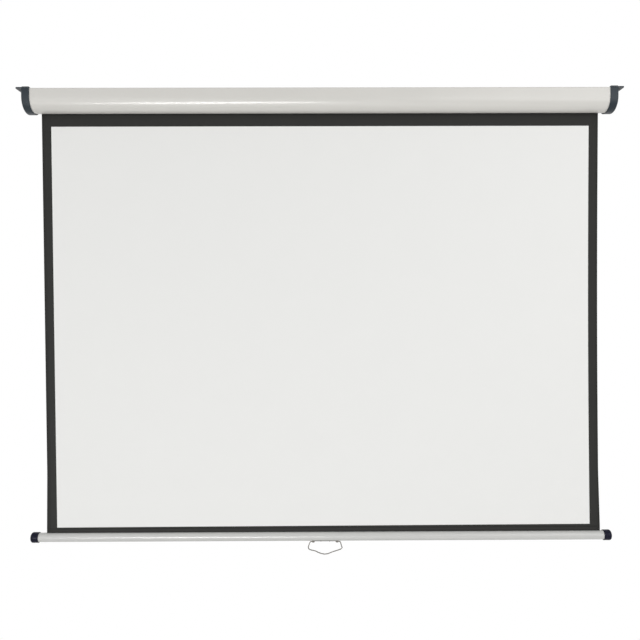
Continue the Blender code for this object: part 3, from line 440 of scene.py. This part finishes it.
# %% [markdown]
# ## Powder-coated steel: the case
# The real case is sheet steel, roll-formed and powder-coated in a pale warm grey. The powder melts into a
# skin with a faint orange peel, about 1.5 mm from bump to bump, which breaks up a reflection without hiding
# it. The peel is a noise that drives a shallow bump, and a slower noise changes the gloss a little, as
# handling does.

# %% Powder-coated steel
PEEL_SIZE = 0.0015
PEEL_DEPTH = 0.000012
HANDLING_SIZE = 0.12

powder_coated_steel, tree, paint = new_finish("powder_coated_steel", {"IOR": PAINT_IOR})
place = object_place(tree)
peel = noise(tree, place, PEEL_SIZE, 2)
handling = noise(tree, place, HANDLING_SIZE, 3)
connect(tree, paint,
        colour=tint_between(tree, handling, "#D5D3CE", "#DAD8D3"),
        roughness=range_between(tree, handling, 0.23, 0.26),
        normal=bumps(tree, peel, PEEL_DEPTH))
print("orange peel bumps per metre:", round(1 / PEEL_SIZE))

# %% [markdown]
# The case's section starts at the lip that is folded up inside the slot, goes under and up the bulging
# front, over the flat top and down the flat back, and ends at the slot's rear edge. The whole line is one
# bent wall 1 mm thick, carried along the case. The model's own case has flat facets, so this one stands for
# it.

# %% The case
CASE_WALL = 0.001
FRONT_BULGE, REAR_BULGE, TOP_BEND, LIP_BEND = 0.034, 0.026, 0.003, 0.0015
LIP_PLACE, LIP_HEIGHT, REAR_EDGE = -0.026, 0.004, -0.0125
LONG_STATIONS = 13

(case_start, case_front, case_low), (case_end, case_back, case_high) = extent("case_shell")
rear_end = math.degrees(math.acos((REAR_EDGE - case_back + REAR_BULGE) / REAR_BULGE))
case_line = np.concatenate([
    [(LIP_PLACE, case_low + LIP_HEIGHT)],
    arc((LIP_PLACE - LIP_BEND, case_low + LIP_BEND), LIP_BEND, 0, -90, 6),
    arc((case_front + FRONT_BULGE, case_low + FRONT_BULGE), FRONT_BULGE, 270, 180, 48),
    arc((case_front + TOP_BEND, case_high - TOP_BEND), TOP_BEND, 180, 90, 10),
    arc((case_back - TOP_BEND, case_high - TOP_BEND), TOP_BEND, 90, 0, 10),
    arc((case_back - REAR_BULGE, case_low + REAR_BULGE), REAR_BULGE, 0, -rear_end, 28),
])
case_section = with_wall(case_line, CASE_WALL)
case_skin = skin(along_x(case_section, np.linspace(case_start, case_end, LONG_STATIONS)), ends="wall")
case_skin_piece = make_piece("case_skin", [case_skin])
fit(case_skin_piece, "case", [powder_coated_steel], ["case_shell"])
print("steel strip the case is bent from, in mm wide:", round(1000 * line_length(case_line)))

# %% [markdown]
# ## Moulded ABS: the end caps
# The caps are injection-moulded ABS in a dark blue-grey. The mould is spark-eroded, which leaves a fine
# even grain of about 0.3 mm, so the plastic is satin and its highlights are wide. At the distance of the
# picture that grain would vanish, so it is drawn at 0.8 mm.

# %% Moulded ABS
GRAIN_SIZE = 0.0008
GRAIN_DEPTH = 0.00002
FLOW_SIZE = 1 / 60

moulded_abs, tree, plastic = new_finish("moulded_abs_blue_grey", {"IOR": 1.53, "Specular IOR Level": 0.3})
place = object_place(tree)
grain = cells(tree, place, GRAIN_SIZE)
flow = noise(tree, place, FLOW_SIZE, 3)
connect(tree, plastic,
        colour=tint_between(tree, flow, "#1B262E", "#242F37"),
        roughness=range_between(tree, flow, 0.34, 0.44),
        normal=bumps(tree, grain, GRAIN_DEPTH))
print("mould grains per metre:", round(1 / GRAIN_SIZE))

# %% [markdown]
# The model's caps already have their sockets, ears and holes, so they are copied. A node's mesh arrives as
# loose triangles: the copy is welded, its flat areas become single faces, and a small Bevel modifier rounds
# the edges, because no moulded edge is sharp.

# %% The end caps
CAP_EDGE = 0.0004
CAP_SHARP_ANGLE = math.radians(32.0)
COPY_WELD_REACH = 1e-5
FLAT_WITHIN = math.radians(0.5)


def moulded_copy(node_name, piece_name):
    """A welded copy of a model node, with flat areas joined and its edges rounded."""
    solid = bmesh.new()
    solid.from_mesh(frame["nodes"][node_name].data)
    bmesh.ops.remove_doubles(solid, verts=solid.verts, dist=COPY_WELD_REACH)
    bmesh.ops.dissolve_limit(solid, angle_limit=FLAT_WITHIN, verts=solid.verts, edges=solid.edges)
    bmesh.ops.recalc_face_normals(solid, faces=solid.faces)
    mesh = bpy.data.meshes.new(piece_name)
    solid.to_mesh(mesh)
    solid.free()
    if "custom_normal" in mesh.attributes:
        mesh.attributes.remove(mesh.attributes["custom_normal"])
    mesh.materials.clear()
    mesh.shade_smooth()
    mesh.set_sharp_from_angle(angle=CAP_SHARP_ANGLE)
    piece = bpy.data.objects.new(piece_name, mesh)
    bpy.context.scene.collection.objects.link(piece)
    bevel = piece.modifiers.new("edges", "BEVEL")
    bevel.width = CAP_EDGE
    bevel.segments = 2
    bevel.limit_method = "ANGLE"
    bevel.angle_limit = CAP_SHARP_ANGLE
    bevel.harden_normals = True
    return piece


for hand in ("left", "right"):
    moulding = moulded_copy(hand + "_end_cap", hand + "_cap_moulding")
    fit(moulding, "case", [moulded_abs], [hand + "_end_cap"])

# %% [markdown]
# ## Zinc-plated steel: screws and inner works
# Brackets, roller tube, pins and screws are mild steel with bright zinc. Zinc shows a faint crystal mottle
# and the hair lines of the sheet under it. A metal keeps Blender's own IOR, and its colour is in the
# reflection.

# %% Zinc-plated steel
SPANGLE_SIZE = 0.004
HAIR_LINE = 0.0004
HAIR_STRETCH = 0.03
SCRATCH_DEPTH = 0.000004

zinc_plated_steel, tree, metal = new_finish("zinc_plated_steel", {"Metallic": 1.0})
place = object_place(tree)
spangle = cells(tree, place, SPANGLE_SIZE)
along = node(tree, "ShaderNodeMapping", None, {"Vector": place, "Scale": (HAIR_STRETCH, 1.0, 1.0)})
lines = noise(tree, along.outputs[0], HAIR_LINE, 2)
connect(tree, metal,
        colour=tint_between(tree, spangle, "#BCC0C4", "#CDCFD0"),
        roughness=range_between(tree, lines, 0.26, 0.46),
        normal=bumps(tree, lines, SCRATCH_DEPTH))
print("spangles per metre:", round(1 / SPANGLE_SIZE))

# %% [markdown]
# A screw is a profile turned about its axis. The cross that the driver fits is not cut: the points of the
# head are pushed down wherever they lie near one of the cross's two centre lines, so it stays one clean
# surface. Arms, crown and rim are shares of the head's radius and height.

# %% Screws
ARM_WIDTH, ARM_REACH = 0.26, 0.62
ARM_SIDE_SLOPE, ARM_END_SLOPE = 0.25, 0.2
CROWN_REACH, CROWN_FALL = 0.82, 0.28
RIM_RADIUS, RIM_PLACE = 0.35, 0.45
HEAD_TOP, PAN_DEPTH = 0.7, 0.5
FLUSH_EDGE, FLUSH_DEPTH = 0.0002, 0.0012


def cross_recess(points, head, top, depth):
    """Pushes what is above top down by depth x how far a point is inside one arm of the cross."""
    x, y, z = np.moveaxis(points, -1, 0)
    width, reach = ARM_WIDTH * head, ARM_REACH * head
    to_side = width / 2 - np.minimum(np.abs(x), np.abs(y))
    in_arm = np.clip(to_side / (ARM_SIDE_SLOPE * width) + 0.5, 0, 1)
    in_reach = np.clip((reach - np.hypot(x, y)) / (ARM_END_SLOPE * reach), 0, 1)
    sunk = points.copy()
    sunk[..., 2] = np.where(z > top, z - depth * in_arm * in_reach, z)
    return sunk


def pan_screw(head, height, shank, length):
    """A domed head above its base, a shank below it: radius and height from the crown down to the tip."""
    rings = np.linspace(0, CROWN_REACH * head, 16)
    crown = np.stack([rings, height * (1 - CROWN_FALL * (rings / head) ** 2)], axis=1)
    rim = arc((head - RIM_RADIUS * height, RIM_PLACE * height), RIM_RADIUS * height, 60, 0, 4)
    rest = [(head, 0.0), (shank, 0.0), (shank, -length + shank), (0.0, -length)]
    points = turned(np.concatenate([crown, rim, rest]), 48)
    return cross_recess(points, head, HEAD_TOP * height, PAN_DEPTH * height)


def flush_screw(head, height, shank, length):
    """A flat head whose cone narrows to the shank."""
    rings = np.stack([np.linspace(0, head, 18), np.zeros(18)], axis=1)
    rest = [(head, -FLUSH_EDGE), (shank, -height), (shank, -length + shank), (0.0, -length)]
    return cross_recess(turned(np.concatenate([rings, rest]), 48), head, -FLUSH_EDGE / 2, FLUSH_DEPTH)


HEAD_HEIGHT, SHANK = 0.0022, 0.0018
FACE_HEAD, FACE_LENGTH = 0.0034, 0.009
TOP_HEAD, TOP_LENGTH = 0.0031, 0.0097

for sign, hand in ((-1, "left"), (1, "right")):
    for number in (1, 2):
        low, high = extent(f"{hand}_bracket_screw_{number}")
        base = (low + high) / 2
        base[0] = (high[0] - HEAD_HEIGHT) if sign > 0 else (low[0] + HEAD_HEIGHT)
        head = placed(pan_screw(FACE_HEAD, HEAD_HEIGHT, SHANK, FACE_LENGTH), base, (sign, 0, 0))
        screw = make_piece(f"{hand}_face_screw_{number}", [skin(head)])
        fit(screw, "case", [zinc_plated_steel], [f"{hand}_bracket_screw_{number}"])
    low, high = extent(hand + "_case_screw")
    top = (*(low + high)[:2] / 2, high[2])
    head = placed(flush_screw(TOP_HEAD, HEAD_HEIGHT, SHANK, TOP_LENGTH), top, (0, 0, 1))
    screw = make_piece(hand + "_top_screw", [skin(head)])
    fit(screw, "case", [zinc_plated_steel], [hand + "_case_screw"])

# %% [markdown]
# ## Coated fabric: the screen itself
# The sheet is woven polyester under a soft vinyl coat: matt white in front with a printed black border, and
# blackened at the back so that no light comes through. Its threads are about 0.3 mm apart, too fine to show,
# so the weave is drawn at 0.9 mm, and as it follows the cloth it reads the sheet's own UV map, which is in
# metres. A Wave texture at scale s makes 20 s / (2 pi) bands in a metre.

# %% The fabric's three finishes
THREAD_SPACING = 0.0009
THREAD_DEPTH = 0.00003
THREAD_WANDER = 0.6
CLOUD_SIZE = 1 / 9
CLOUD_GLOSS = 0.05


def coated_fabric(name, first_colour, second_colour, roughness, specular):
    """Vinyl-coated weave. Its height is the mean of two waves, one along each thread direction."""
    fabric, tree, coat = new_finish(name, {"IOR": 1.5, "Specular IOR Level": specular})
    cloth = node(tree, "ShaderNodeUVMap", {"uv_map": "cloth"}).outputs["UV"]
    pitch = 2 * math.pi / THREAD_SPACING / 20
    thread = {"Vector": cloth, "Scale": pitch, "Distortion": THREAD_WANDER, "Detail Scale": 3.0}
    warp = node(tree, "ShaderNodeTexWave", {"bands_direction": "X", "wave_profile": "SIN"}, thread)
    weft = node(tree, "ShaderNodeTexWave", {"bands_direction": "Y", "wave_profile": "SIN"}, thread)
    both = {0: warp.outputs["Fac"], 1: weft.outputs["Fac"]}
    weave = node(tree, "ShaderNodeMath", {"operation": "ADD"}, both)
    clouds = noise(tree, cloth, CLOUD_SIZE, 4)
    connect(tree, coat,
            colour=tint_between(tree, clouds, first_colour, second_colour),
            roughness=range_between(tree, clouds, roughness - CLOUD_GLOSS, roughness + CLOUD_GLOSS),
            normal=bumps(tree, weave.outputs[0], THREAD_DEPTH / 2))
    return fabric


white_vinyl_face = coated_fabric("white_vinyl_face", "#EFEFED", "#F1F1EF", 0.85, 0.3)
printed_black_border = coated_fabric("printed_black_border", "#2F2F2E", "#353533", 0.7, 0.12)
black_coated_back = coated_fabric("black_coated_back", "#2A2A2B", "#333334", 0.8, 0.2)
print("threads per metre drawn:", round(1 / THREAD_SPACING))

# %% [markdown]
# The hanging sheet is a grid of points whose lines run exactly along the print's edges, so each face is
# either border or picture area. It is not a perfect plane: rolled fabric keeps soft vertical waves of under a
# millimetre, its right edge is drawn in by 3 mm at half height, and it hangs 6 mm to the right at the bottom,
# where the print is 2 mm out of level at each side. Near the bar the hem holds the side borders 3 mm wider.
# A Solidify modifier gives the cloth its half millimetre and a black back. The sheet rides with the case and
# ends where the hem strip, which rides with the bar, begins.

# %% The hanging sheet
CLOTH_THICKNESS = 0.00045
HALF_WIDTH, HALF_PICTURE = 0.750, 0.725
PICTURE_TOP, PICTURE_BOTTOM, SHEET_END = -0.0638, -1.1467, -1.1527
LEAN, DRAWN_IN, PRINT_SKEW = 0.0062, 0.0033, 0.0020
SPREAD, SPREAD_TOP = 0.0030, -1.0
WAVE_DEPTH = 0.0006
# Each wave: its share of the depth, its radians per metre, its radians from top to bottom, its start
WAVES = ((0.60, 11, 0, 1.3), (0.25, 23, 3, 0), (0.15, 5, -2, 0))

sheet_low, sheet_high = extent("fabric_drop")
CLOTH_PLACE = (sheet_low[1] + sheet_high[1]) / 2


def thicken(piece, back_slots):
    """Half of the cloth's thickness on each side, with the back faces in later material slots."""
    solidify = piece.modifiers.new("cloth", "SOLIDIFY")
    solidify.thickness = CLOTH_THICKNESS
    solidify.offset = 0.0
    solidify.material_offset = back_slots
    return piece


def lay_uv(piece, points, down):
    """The UV map in metres: across the cloth, and down it along its own line."""
    layer = piece.data.uv_layers.new(name="cloth")
    below = np.repeat(down[:, None], points.shape[1], axis=1)
    flat = np.stack([points[..., 0], below], axis=-1).reshape(-1, 2)
    corner = np.zeros(len(piece.data.loops), np.int32)
    piece.data.loops.foreach_get("vertex_index", corner)
    layer.data.foreach_set("uv", flat[corner].astype(np.float32).ravel())


across = spaced([-HALF_WIDTH, -HALF_PICTURE, HALF_PICTURE, HALF_WIDTH], [2, 96, 2])
down = spaced([0, PICTURE_TOP, PICTURE_BOTTOM, SHEET_END], [6, 64, 2])
x, z = np.meshgrid(across, down)
share = z / SHEET_END
belly = np.sin(np.pi * share)
wave = sum(size * np.sin(rate * x + slant * share + start) for size, rate, slant, start in WAVES)
skewed = np.interp(z, [SHEET_END, PICTURE_BOTTOM, PICTURE_TOP], [0, 1, 0])
near_bar = np.interp(z, [SHEET_END, SPREAD_TOP], [1, 0])
near_edge = np.interp(np.abs(x), [HALF_PICTURE, HALF_WIDTH], [0, 1])
sheet_points = np.stack([
    x + LEAN * share + SPREAD * near_bar * near_edge * np.sign(x)
    - DRAWN_IN * belly * (x + HALF_WIDTH) / (2 * HALF_WIDTH),
    CLOTH_PLACE + WAVE_DEPTH * wave * belly,
    z + PRINT_SKEW * skewed * x / HALF_WIDTH], axis=-1)
hanging_sheet = make_piece("hanging_sheet", [skin(sheet_points, columns_closed=False)], welded=False)
lay_uv(hanging_sheet, np.stack([x, x, z], axis=-1), -down)
side_border = np.abs(x[1:, 1:] + x[:-1, :-1]) / 2 > HALF_PICTURE
height = (z[1:, 1:] + z[:-1, :-1]) / 2
in_border = side_border | (height > PICTURE_TOP) | (height < PICTURE_BOTTOM)
hanging_sheet.data.polygons.foreach_set("material_index", in_border.astype(np.int32).ravel())
thicken(hanging_sheet, 2)
fit(hanging_sheet, "case",
    [white_vinyl_face, printed_black_border, black_coated_back, black_coated_back], ["fabric_drop"])
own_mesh(hanging_sheet)
print("picture area in mm:", round(2000 * HALF_PICTURE), "x", round(1000 * (PICTURE_TOP - PICTURE_BOTTOM)))

# %% [markdown]
# Below the picture the cloth goes on as a black strip into the bar's slot, round a steel rod, and back up
# behind itself, where it is welded. That teardrop is what holds the bar. It is one line in the side view,
# carried across the width, and it rides with the bar. Heights here are above the rod's centre, and angles go
# in degrees from the wall side upwards.

# %% The hem in the bar
HEM_CENTRE = sum(extent("hem_rod"))[1:] / 2
HEM_RADIUS = 0.00375
LOOP_START, LOOP_END = 125, 415
NECK_HEIGHT, WELD_END, PLY_SPACING = 0.0058, 0.0158, 0.0006


def bend(start, start_way, end, end_way, steps):
    """A cubic from start to end that leaves and arrives along given directions, as long as the gap."""
    start, end = np.asarray(start, float), np.asarray(end, float)
    gap = np.linalg.norm(end - start)
    t = np.linspace(0, 1, steps + 1)[:, None]
    return ((2 * t ** 3 - 3 * t ** 2 + 1) * start + (t ** 3 - 2 * t ** 2 + t) * gap * np.asarray(start_way)
            + (3 * t ** 2 - 2 * t ** 3) * end + (t ** 3 - t ** 2) * gap * np.asarray(end_way))


def way_round(degrees):
    """The direction in which an arc goes on at an angle: (-sin, cos)."""
    return -math.sin(math.radians(degrees)), math.cos(math.radians(degrees))


loop = arc((0, 0), HEM_RADIUS, LOOP_START, LOOP_END, 40)
strip_height = np.linspace(SHEET_END - HEM_CENTRE[1], NECK_HEIGHT, 5)[:-1]
hem_line = HEM_CENTRE + np.concatenate([
    np.stack([np.zeros(4), strip_height], axis=1),
    bend((0, NECK_HEIGHT), (0, -1), loop[0], way_round(LOOP_START), 8)[:-1],
    loop,
    bend(loop[-1], way_round(LOOP_END), (PLY_SPACING, NECK_HEIGHT), (0, 1), 8)[1:],
    [(PLY_SPACING, WELD_END)],
])
hem_points = np.swapaxes(along_x(hem_line, sheet_points[-1, :, 0]), 0, 1)
hem_down = np.concatenate([[0], np.cumsum(np.linalg.norm(np.diff(hem_line, axis=0), axis=1))])
hem = make_piece("hem_strip", [skin(hem_points, columns_closed=False)], sharp_angle=60, welded=False)
lay_uv(hem, hem_points, hem_down - SHEET_END)
thicken(hem, 1)
fit(hem, "slat", [printed_black_border, black_coated_back], ["fabric_hem"])
print("cloth in the strip and hem, in mm:", round(1000 * hem_down[-1], 1))

# %% [markdown]
# At the top the cloth comes off the rear of the roller. About two and a half turns always stay wound on, with
# the white face inwards. They are a spiral whose radius grows by one thickness of cloth in each turn.

# %% The turns on the roller
ROLLER_PLACE = np.array((-0.038, 0.0))
OUTER_TURN = 0.01965
TURN_PITCH = 0.0005
TURNS = 2.5
TURN_POINTS = 241

angle = np.radians(np.linspace(360 * TURNS, 0, TURN_POINTS))
radius = OUTER_TURN - TURN_PITCH * angle / (2 * np.pi)
spiral = ROLLER_PLACE + np.stack([radius * np.cos(angle), radius * np.sin(angle)], axis=1)
turn_points = np.swapaxes(along_x(spiral, np.linspace(-HALF_WIDTH, HALF_WIDTH, LONG_STATIONS)), 0, 1)
turn_down = np.concatenate([[0], np.cumsum(np.linalg.norm(np.diff(spiral, axis=0), axis=1))])
wound = make_piece("wound_turns", [skin(turn_points, columns_closed=False)], sharp_angle=60, welded=False)
lay_uv(wound, turn_points, turn_down - turn_down[-1])
thicken(wound, 1)
fit(wound, "roller", [printed_black_border, black_coated_back], ["fabric_roll"])
print("cloth that stays wound on, in mm:", round(1000 * turn_down[-1]))

# %% [markdown]
# ## Satin paint: the bottom bar
# The bar is a thin steel tube rolled with an open slot along its top and a flat underneath for the handle.
# Its paint is sprayed, so it is smoother than powder: satin, with only a trace of peel.

# %% Satin-painted steel
SPRAY_PEEL_SIZE = 0.001
SPRAY_PEEL_DEPTH = 0.000006
BAR_HANDLING_SIZE = 0.06

satin_painted_steel, tree, paint = new_finish("satin_painted_steel", {"IOR": PAINT_IOR})
place = object_place(tree)
peel = noise(tree, place, SPRAY_PEEL_SIZE, 2)
handling = noise(tree, place, BAR_HANDLING_SIZE, 4)
connect(tree, paint,
        colour=tint_between(tree, handling, "#C8C8C6", "#CECECB"),
        roughness=range_between(tree, handling, 0.24, 0.27),
        normal=bumps(tree, peel, SPRAY_PEEL_DEPTH))
print("satin paint ready")

# %% The bar
BAR_RADIUS, BAR_WALL = 0.0122, 0.0012
SLOT_HALF, FLAT_HALF = 0.0015, 0.005
BAR_CENTRE = sum(extent("left_slat_cap"))[1:] / 2
BAR_HALF = extent("slat_tube")[1][0]

slot_angle = math.degrees(math.asin(SLOT_HALF / BAR_RADIUS))
flat_angle = math.degrees(math.asin(FLAT_HALF / BAR_RADIUS))
bar_line = np.concatenate([
    arc(BAR_CENTRE, BAR_RADIUS, 450 - slot_angle, 270 + flat_angle, 56),
    arc(BAR_CENTRE, BAR_RADIUS, 270 - flat_angle, 90 + slot_angle, 56),
])
bar_points = along_x(with_wall(bar_line, BAR_WALL), np.linspace(-BAR_HALF, BAR_HALF, LONG_STATIONS))
bar = make_piece("bar_tube", [skin(bar_points, ends="wall")])
fit(bar, "slat", [satin_painted_steel], ["slat_tube"])

# %% [markdown]
# ## Glossy moulded plastic: the bar's caps
# The bar's caps are soft black-blue plastic, pushed on, with a rounded end and three shallow grip grooves.
# They came from a polished mould, so they are glossier than the case's caps.

# %% Polished moulded plastic
SWIRL_SIZE = 0.006
SWIRL_DEPTH = 0.00003

polished_plastic, tree, plastic = new_finish(
    "polished_navy_plastic", {"IOR": 1.49, "Specular IOR Level": 0.13})
place = object_place(tree)
swirl = noise(tree, place, SWIRL_SIZE, 3)
connect(tree, plastic,
        colour=tint_between(tree, swirl, "#090A1E", "#0F1128"),
        roughness=range_between(tree, swirl, 0.2, 0.34),
        normal=bumps(tree, swirl, SWIRL_DEPTH))
print("polished plastic ready")

# %% The bar's caps
CAP_ROUND = 0.0055
SOCKET_GAP = 0.0003
GROOVE_DEPTH, GROOVE_WIDTH = 0.00035, 0.0012
CROWN_RISE, MOUTH_EDGE = 0.0009, 0.0006

cap_low, cap_high = extent("right_slat_cap")
CAP_START, CAP_END = cap_low[0], cap_high[0]
CAP_RADIUS = (cap_high[2] - cap_low[2]) / 2
SOCKET_RADIUS, SOCKET_END = BAR_RADIUS + SOCKET_GAP, BAR_HALF + SOCKET_GAP
GROOVES = CAP_START + np.array((0.0035, 0.0065, 0.0095))
crown_radius = np.linspace(0, CAP_RADIUS - CAP_ROUND, 9)
crown = np.stack([crown_radius, CAP_END - CROWN_RISE * (crown_radius / crown_radius[-1]) ** 2], axis=1)
round_height = CAP_END - CROWN_RISE - CAP_ROUND
rounded = arc((CAP_RADIUS - CAP_ROUND, round_height), CAP_ROUND, 84, 0, 12)
side_height = np.linspace(round_height, CAP_START + MOUTH_EDGE, 60)[1:]
dip = sum(np.exp(-((side_height - groove) / (GROOVE_WIDTH / 2)) ** 2) for groove in GROOVES)
side_line = np.stack([CAP_RADIUS - GROOVE_DEPTH * dip, side_height], axis=1)
inside = [(CAP_RADIUS - MOUTH_EDGE, CAP_START), (SOCKET_RADIUS, CAP_START),
          (SOCKET_RADIUS, SOCKET_END), (0.0, SOCKET_END)]
cap_profile = np.concatenate([crown, rounded, side_line, inside])
for sign, hand in ((-1, "left"), (1, "right")):
    cap_points = placed(turned(cap_profile, 64), (0.0, *BAR_CENTRE), (sign, 0, 0))
    cap = make_piece(hand + "_bar_cap", [skin(cap_points)], sharp_angle=40)
    fit(cap, "slat", [polished_plastic], [hand + "_slat_cap"])

# %% [markdown]
# ## Nickel-plated steel: the handle
# The handle is a wire bail that hangs in two eyelets curled from a strip under the bar. Wire and strip are
# nickel-plated steel, grey rather than bright: fine pits scatter the light, and wear has dulled the plating
# in patches.

# %% Nickel-plated steel
WEAR_SIZE = 0.003
PIT_SIZE = 0.0005
PIT_DEPTH = 0.000008

nickel_plated_steel, tree, metal = new_finish("nickel_plated_steel", {"Metallic": 1.0})
place = object_place(tree)
wear = noise(tree, place, WEAR_SIZE, 5)
pits = noise(tree, place, PIT_SIZE, 2)
connect(tree, metal,
        colour=tint_between(tree, wear, "#57544F", "#76736D"),
        roughness=range_between(tree, wear, 0.24, 0.5),
        normal=bumps(tree, pits, PIT_DEPTH))
print("nickel plate ready")

# %% [markdown]
# The bail is a round wire along a path in one upright plane. Its stubs point inwards through the eyelets,
# its legs drop from the shoulders, and the grip dips to the middle. Legs and grip are written as shares of
# half the width and of the drop, from left to right, as use has pulled the right corner a little straighter.

# %% The wire bail
PIVOT = np.array(joints["handle_swing"]["pos_m"])
WIRE_RADIUS = 0.0013
STUB, SHOULDER = 0.0282, 0.0391
HALF_BAIL = extent("pull_handle")[1][0] - PIVOT[0] - WIRE_RADIUS
BAIL_DROP = PIVOT[2] - extent("pull_handle")[0][2] - WIRE_RADIUS
GRIP = np.array([
    (-0.97, 0.30), (-1.00, 0.46), (-0.95, 0.59), (-0.83, 0.66), (-0.60, 0.73), (-0.39, 0.86), (-0.19, 0.95),
    (0.00, 0.98), (0.18, 0.94), (0.34, 0.86), (0.47, 0.79), (0.63, 0.73), (0.79, 0.66), (0.93, 0.58),
    (1.00, 0.48), (0.96, 0.33)])

shoulder = np.array([(SHOULDER, 0.0), (SHOULDER + 2 * WIRE_RADIUS, -2 * WIRE_RADIUS)])
bent_wire = chain(np.concatenate([shoulder * (-1, 1), GRIP * (HALF_BAIL, -BAIL_DROP), shoulder[::-1]]), 10)
tip = np.array([0.0, 0.12, 0.4, 0.8, 1.3])
stub_line = np.stack([STUB + WIRE_RADIUS * tip, np.zeros_like(tip)], axis=1)
bail_line = np.concatenate([stub_line * (-1, 1), bent_wire, stub_line[::-1]])
tip_radius = WIRE_RADIUS * np.sqrt(np.clip(1 - (1 - np.minimum(tip, 1)) ** 2, 0, 1))
bail_radius = np.full(len(bail_line), WIRE_RADIUS)
bail_radius[:len(tip)], bail_radius[-len(tip):] = tip_radius, tip_radius[::-1]
bail_points = tube_in_plane(bail_line, bail_radius, 20) + PIVOT
bail = make_piece("wire_bail", [skin(bail_points)], sharp_angle=60)
fit(bail, "handle", [nickel_plated_steel], ["pull_handle"])
print("wire in the bail, in mm:", round(1000 * line_length(bail_line)))

# %% The strip and its eyelets
STRIP_HALF, STRIP_DEPTH, STRIP_THICKNESS = 0.0365, 0.010, 0.0012
STRIP_CORNER, STRIP_EDGE = 0.002, 0.00025
STRIP_TOP = extent("handle_plate")[1][2]
EYELET_RADIUS, EYELET_BORE, EYELET_LENGTH, EYELET_SPACING = 0.00275, 0.0016, 0.006, 0.065
EYELET_EDGE = 0.0002


def rounded_outline(half_x, half_y, radius, steps):
    """A rectangle whose corners are quarter arcs, each radius inside the two sides that it joins."""
    inner = np.array([half_x - radius, half_y - radius])
    corners = enumerate([(1, 1), (-1, 1), (-1, -1), (1, -1)])
    return np.concatenate([
        arc(inner * signs, radius, 90 * quarter, 90 * quarter + 90, steps)
        for quarter, signs in corners])


strip_outline = rounded_outline(STRIP_HALF, STRIP_DEPTH / 2, STRIP_CORNER, 6)
levels = [(0.0, STRIP_EDGE), (-STRIP_EDGE, 0.0),
          (STRIP_EDGE - STRIP_THICKNESS, 0.0), (-STRIP_THICKNESS, STRIP_EDGE)]
strip_points = np.stack([
    np.stack([strip_outline[:, 0] * (1 - inset / STRIP_HALF) + PIVOT[0],
              strip_outline[:, 1] * (1 - inset / (STRIP_DEPTH / 2)) + CLOTH_PLACE,
              np.full(len(strip_outline), STRIP_TOP + level)], axis=-1)
    for level, inset in levels])
eyelet_half = EYELET_LENGTH / 2
barrel = [(EYELET_BORE, -eyelet_half), (EYELET_RADIUS - EYELET_EDGE, -eyelet_half),
          (EYELET_RADIUS, EYELET_EDGE - eyelet_half), (EYELET_RADIUS, eyelet_half - EYELET_EDGE),
          (EYELET_RADIUS - EYELET_EDGE, eyelet_half), (EYELET_BORE, eyelet_half)]
strip_skins = [skin(strip_points, ends="flat")]
for sign in (-1, 1):
    eyelet = placed(turned(barrel, 40), PIVOT + (sign * EYELET_SPACING / 2, 0, 0), (1, 0, 0))
    strip_skins.append(skin(eyelet, rows_closed=True))
strip = make_piece("handle_strip", strip_skins, sharp_angle=40)
fit(strip, "slat", [nickel_plated_steel], ["handle_plate"])

# %% [markdown]
# ## Blackened steel, natural nylon and spring steel
# These are on pieces that hide inside the case or under the bar: the strip's screws and the ratchet disc are
# blackened by a hot oxide bath, the plugs and bushes are natural nylon, which is milky and soft in its shine,
# and the spring is oil-tempered wire, dark with a brown cast.

# %% Blackened steel
BLOOM_SIZE = 0.002
BLOOM_DEPTH = 0.00001

blackened_steel, tree, metal = new_finish("blackened_steel", {"Metallic": 1.0})
place = object_place(tree)
bloom = noise(tree, place, BLOOM_SIZE, 4)
connect(tree, metal,
        colour=tint_between(tree, bloom, "#2B2B2D", "#45434A"),
        roughness=range_between(tree, bloom, 0.35, 0.6),
        normal=bumps(tree, bloom, BLOOM_DEPTH))
print("blackened steel ready")

# %% The strip's screws
STRIP_HEAD, STRIP_HEAD_HEIGHT = 0.0026, 0.0014
STRIP_SHANK, STRIP_SCREW_LENGTH, HEAD_GAP = 0.0014, 0.0045, 0.0003

for number in (1, 2):
    base = sum(extent(f"handle_screw_{number}")) / 2
    base[2] = STRIP_TOP - STRIP_THICKNESS - HEAD_GAP
    body = pan_screw(STRIP_HEAD, STRIP_HEAD_HEIGHT, STRIP_SHANK, STRIP_SCREW_LENGTH)
    screw = make_piece(f"strip_screw_{number}", [skin(placed(body, base, (0, 0, -1)))])
    fit(screw, "slat", [blackened_steel], [f"handle_screw_{number}"])

# %% Natural nylon
MILK_SIZE = 0.008

natural_nylon, tree, plastic = new_finish("natural_nylon", {"IOR": 1.53})
milk = noise(tree, object_place(tree), MILK_SIZE, 3)
connect(tree, plastic,
        colour=tint_between(tree, milk, "#DCD8C8", "#E8E5DA"),
        roughness=range_between(tree, milk, 0.4, 0.55))
print("natural nylon ready")

# %% Spring steel
TEMPER_SIZE = 0.01

spring_steel, tree, metal = new_finish("oil_tempered_spring_steel", {"Metallic": 1.0})
temper = noise(tree, object_place(tree), TEMPER_SIZE, 3)
connect(tree, metal,
        colour=tint_between(tree, temper, "#5B5754", "#77716A"),
        roughness=range_between(tree, temper, 0.25, 0.45))
print("spring steel ready")

# %% Finish the hidden pieces
INNER_WORKS = {
    zinc_plated_steel: ("idle_bracket", "spring_bracket", "spindle", "roller_tube", "idle_pin",
                        "pawl_1", "pawl_2", "pawl_pin_1", "pawl_pin_2", "hem_rod"),
    blackened_steel: ("ratchet_disc",),
    natural_nylon: ("idle_bush", "idle_plug", "spring_plug", "tube_anchor", "spring_collar"),
    spring_steel: ("torsion_spring", "spindle_clip"),
}
for finish, names in INNER_WORKS.items():
    for name in names:
        for material_slot in frame["nodes"][name].material_slots:
            material_slot.material = finish
    print(finish.name, "on", len(names), "model pieces")
